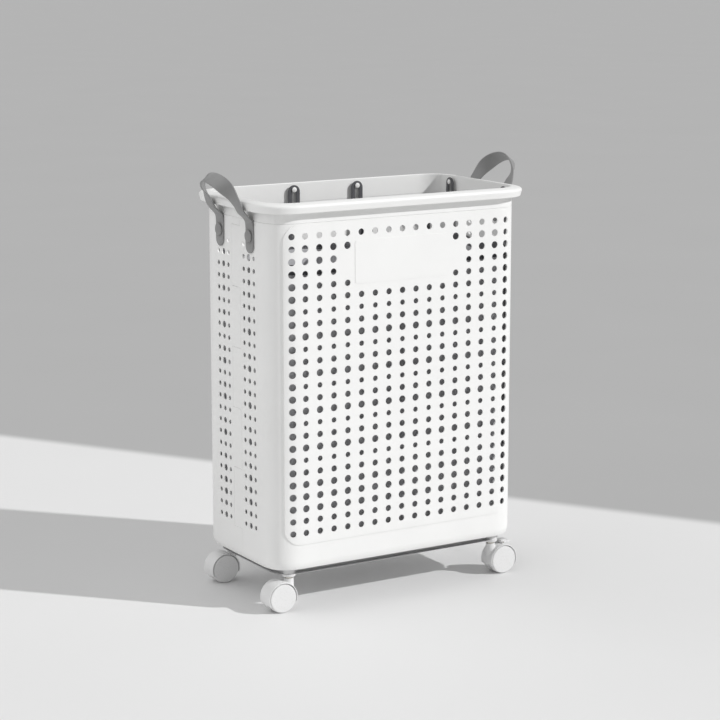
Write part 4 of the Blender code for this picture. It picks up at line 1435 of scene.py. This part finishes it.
MATERIALS = {
    "shell": moulded_polypropylene("moulded_polypropylene", "F6F6F5", "EFEFEE"),
    "base": moulded_polypropylene("moulded_polypropylene_base", "F3F3F1", "EBEBE9"),
    "rubber": thermoplastic_rubber("thermoplastic_rubber", "959595", "848484"),
    "cloth": woven_polyester("woven_polyester", "D2D2D4", "BEBEC2", 1.3 * MM),
    "tape": woven_polyester("woven_polyester_tape", "5A5A5E", "4A4A4E", 1.0 * MM),
    "thread": spun_thread("spun_polyester_thread", "A8A8AA"),
    "nickel": nickel_plated_steel("nickel_plated_steel"),
    "nylon": moulded_nylon("moulded_nylon", "E6E6E6", "D8D8D6"),
    # grey for the brake lever's heel block: painted shade
    "heel_shade": thermoplastic_rubber("rubber_painted_heel_shade", "9A9A9A", "8C8C8C"),
}

perforate = perforation_tree()
repeats = repeat_tree()
cutter = hole_cutter()
make_shell("front_shell", -1, MATERIALS["shell"], perforate, cutter)
make_shell("rear_shell", 1, MATERIALS["shell"], perforate, cutter)
drop(cutter)
make_rim(MATERIALS["shell"])
make_pegs(MATERIALS["shell"], repeats)
make_tray(MATERIALS["base"])
make_buttons(MATERIALS["rubber"], repeats)
make_strap("left", MATERIALS["rubber"])
make_strap("right", MATERIALS["rubber"])
stitches = stitch_tree()
make_bag("left", stitches)
make_bag("right", stitches)
for label in CASTERS:
    make_caster(label)


# ---------------------------------------------------------------- floor, light and camera


def sunlight(name, towards, strength, spread):
    """Even light from far off in that direction; spread is the source's width in degrees."""
    light = bpy.data.lights.new(name, "SUN")
    light.energy = strength
    light.angle = math.radians(spread)
    aim = -Vector(towards)
    linked(name, light).rotation_euler = aim.to_track_quat("-Z", "Y").to_euler()


def make_stage():
    """One flat floor, far wider than the view."""
    mesh = bpy.data.meshes.new("studio_floor")
    corners = [(x, y, 0) for x, y in ((-1, -1), (1, -1), (1, 1), (-1, 1))]
    mesh.from_pydata([Vector(c) * FLOOR_REACH for c in corners], [], [(0, 1, 2, 3)])
    # the floor's mid grey beyond the edge is a painted shadow
    mesh.materials.append(floor_with_painted_shadow("studio_floor_painted_shadow", "E6E6E6", "B3B3B3"))
    floor = linked("studio_floor", mesh)


def make_camera():
    """A long lens aimed at the sorter's middle, turned and raised about it."""
    level = math.cos(CAMERA_ELEVATION)
    back = Vector((math.sin(CAMERA_AZIMUTH) * level, -math.cos(CAMERA_AZIMUTH) * level, 0))
    back.z = math.sin(CAMERA_ELEVATION)
    lens = bpy.data.cameras.new("camera")
    lens.lens = CAMERA_LENS
    lens.sensor_width = 36.0
    camera = linked("camera", lens)
    camera.location = CAMERA_TARGET + back * CAMERA_DISTANCE
    camera.rotation_euler = (-back).to_track_quat("-Z", "Y").to_euler()
    bpy.context.scene.camera = camera


def make_lights():
    """A crisp key from the front right, a broad fill from high on the left, and a little light
    from everywhere."""
    sunlight("key_light", (0.572, -0.613, 0.545), 2.3, 1.3)
    sunlight("sky_fill", (-0.61, 0.29, 0.735), 1.0, 85.0)
    world = bpy.data.worlds.new("studio")
    world.use_nodes = True
    sky = world.node_tree.nodes["Background"]
    sky.inputs["Color"].default_value = linear("FFFFFF")
    sky.inputs["Strength"].default_value = 0.36
    bpy.context.scene.world = world


make_stage()
make_camera()
make_lights()
bpy.context.scene.view_settings.view_transform = "Standard"
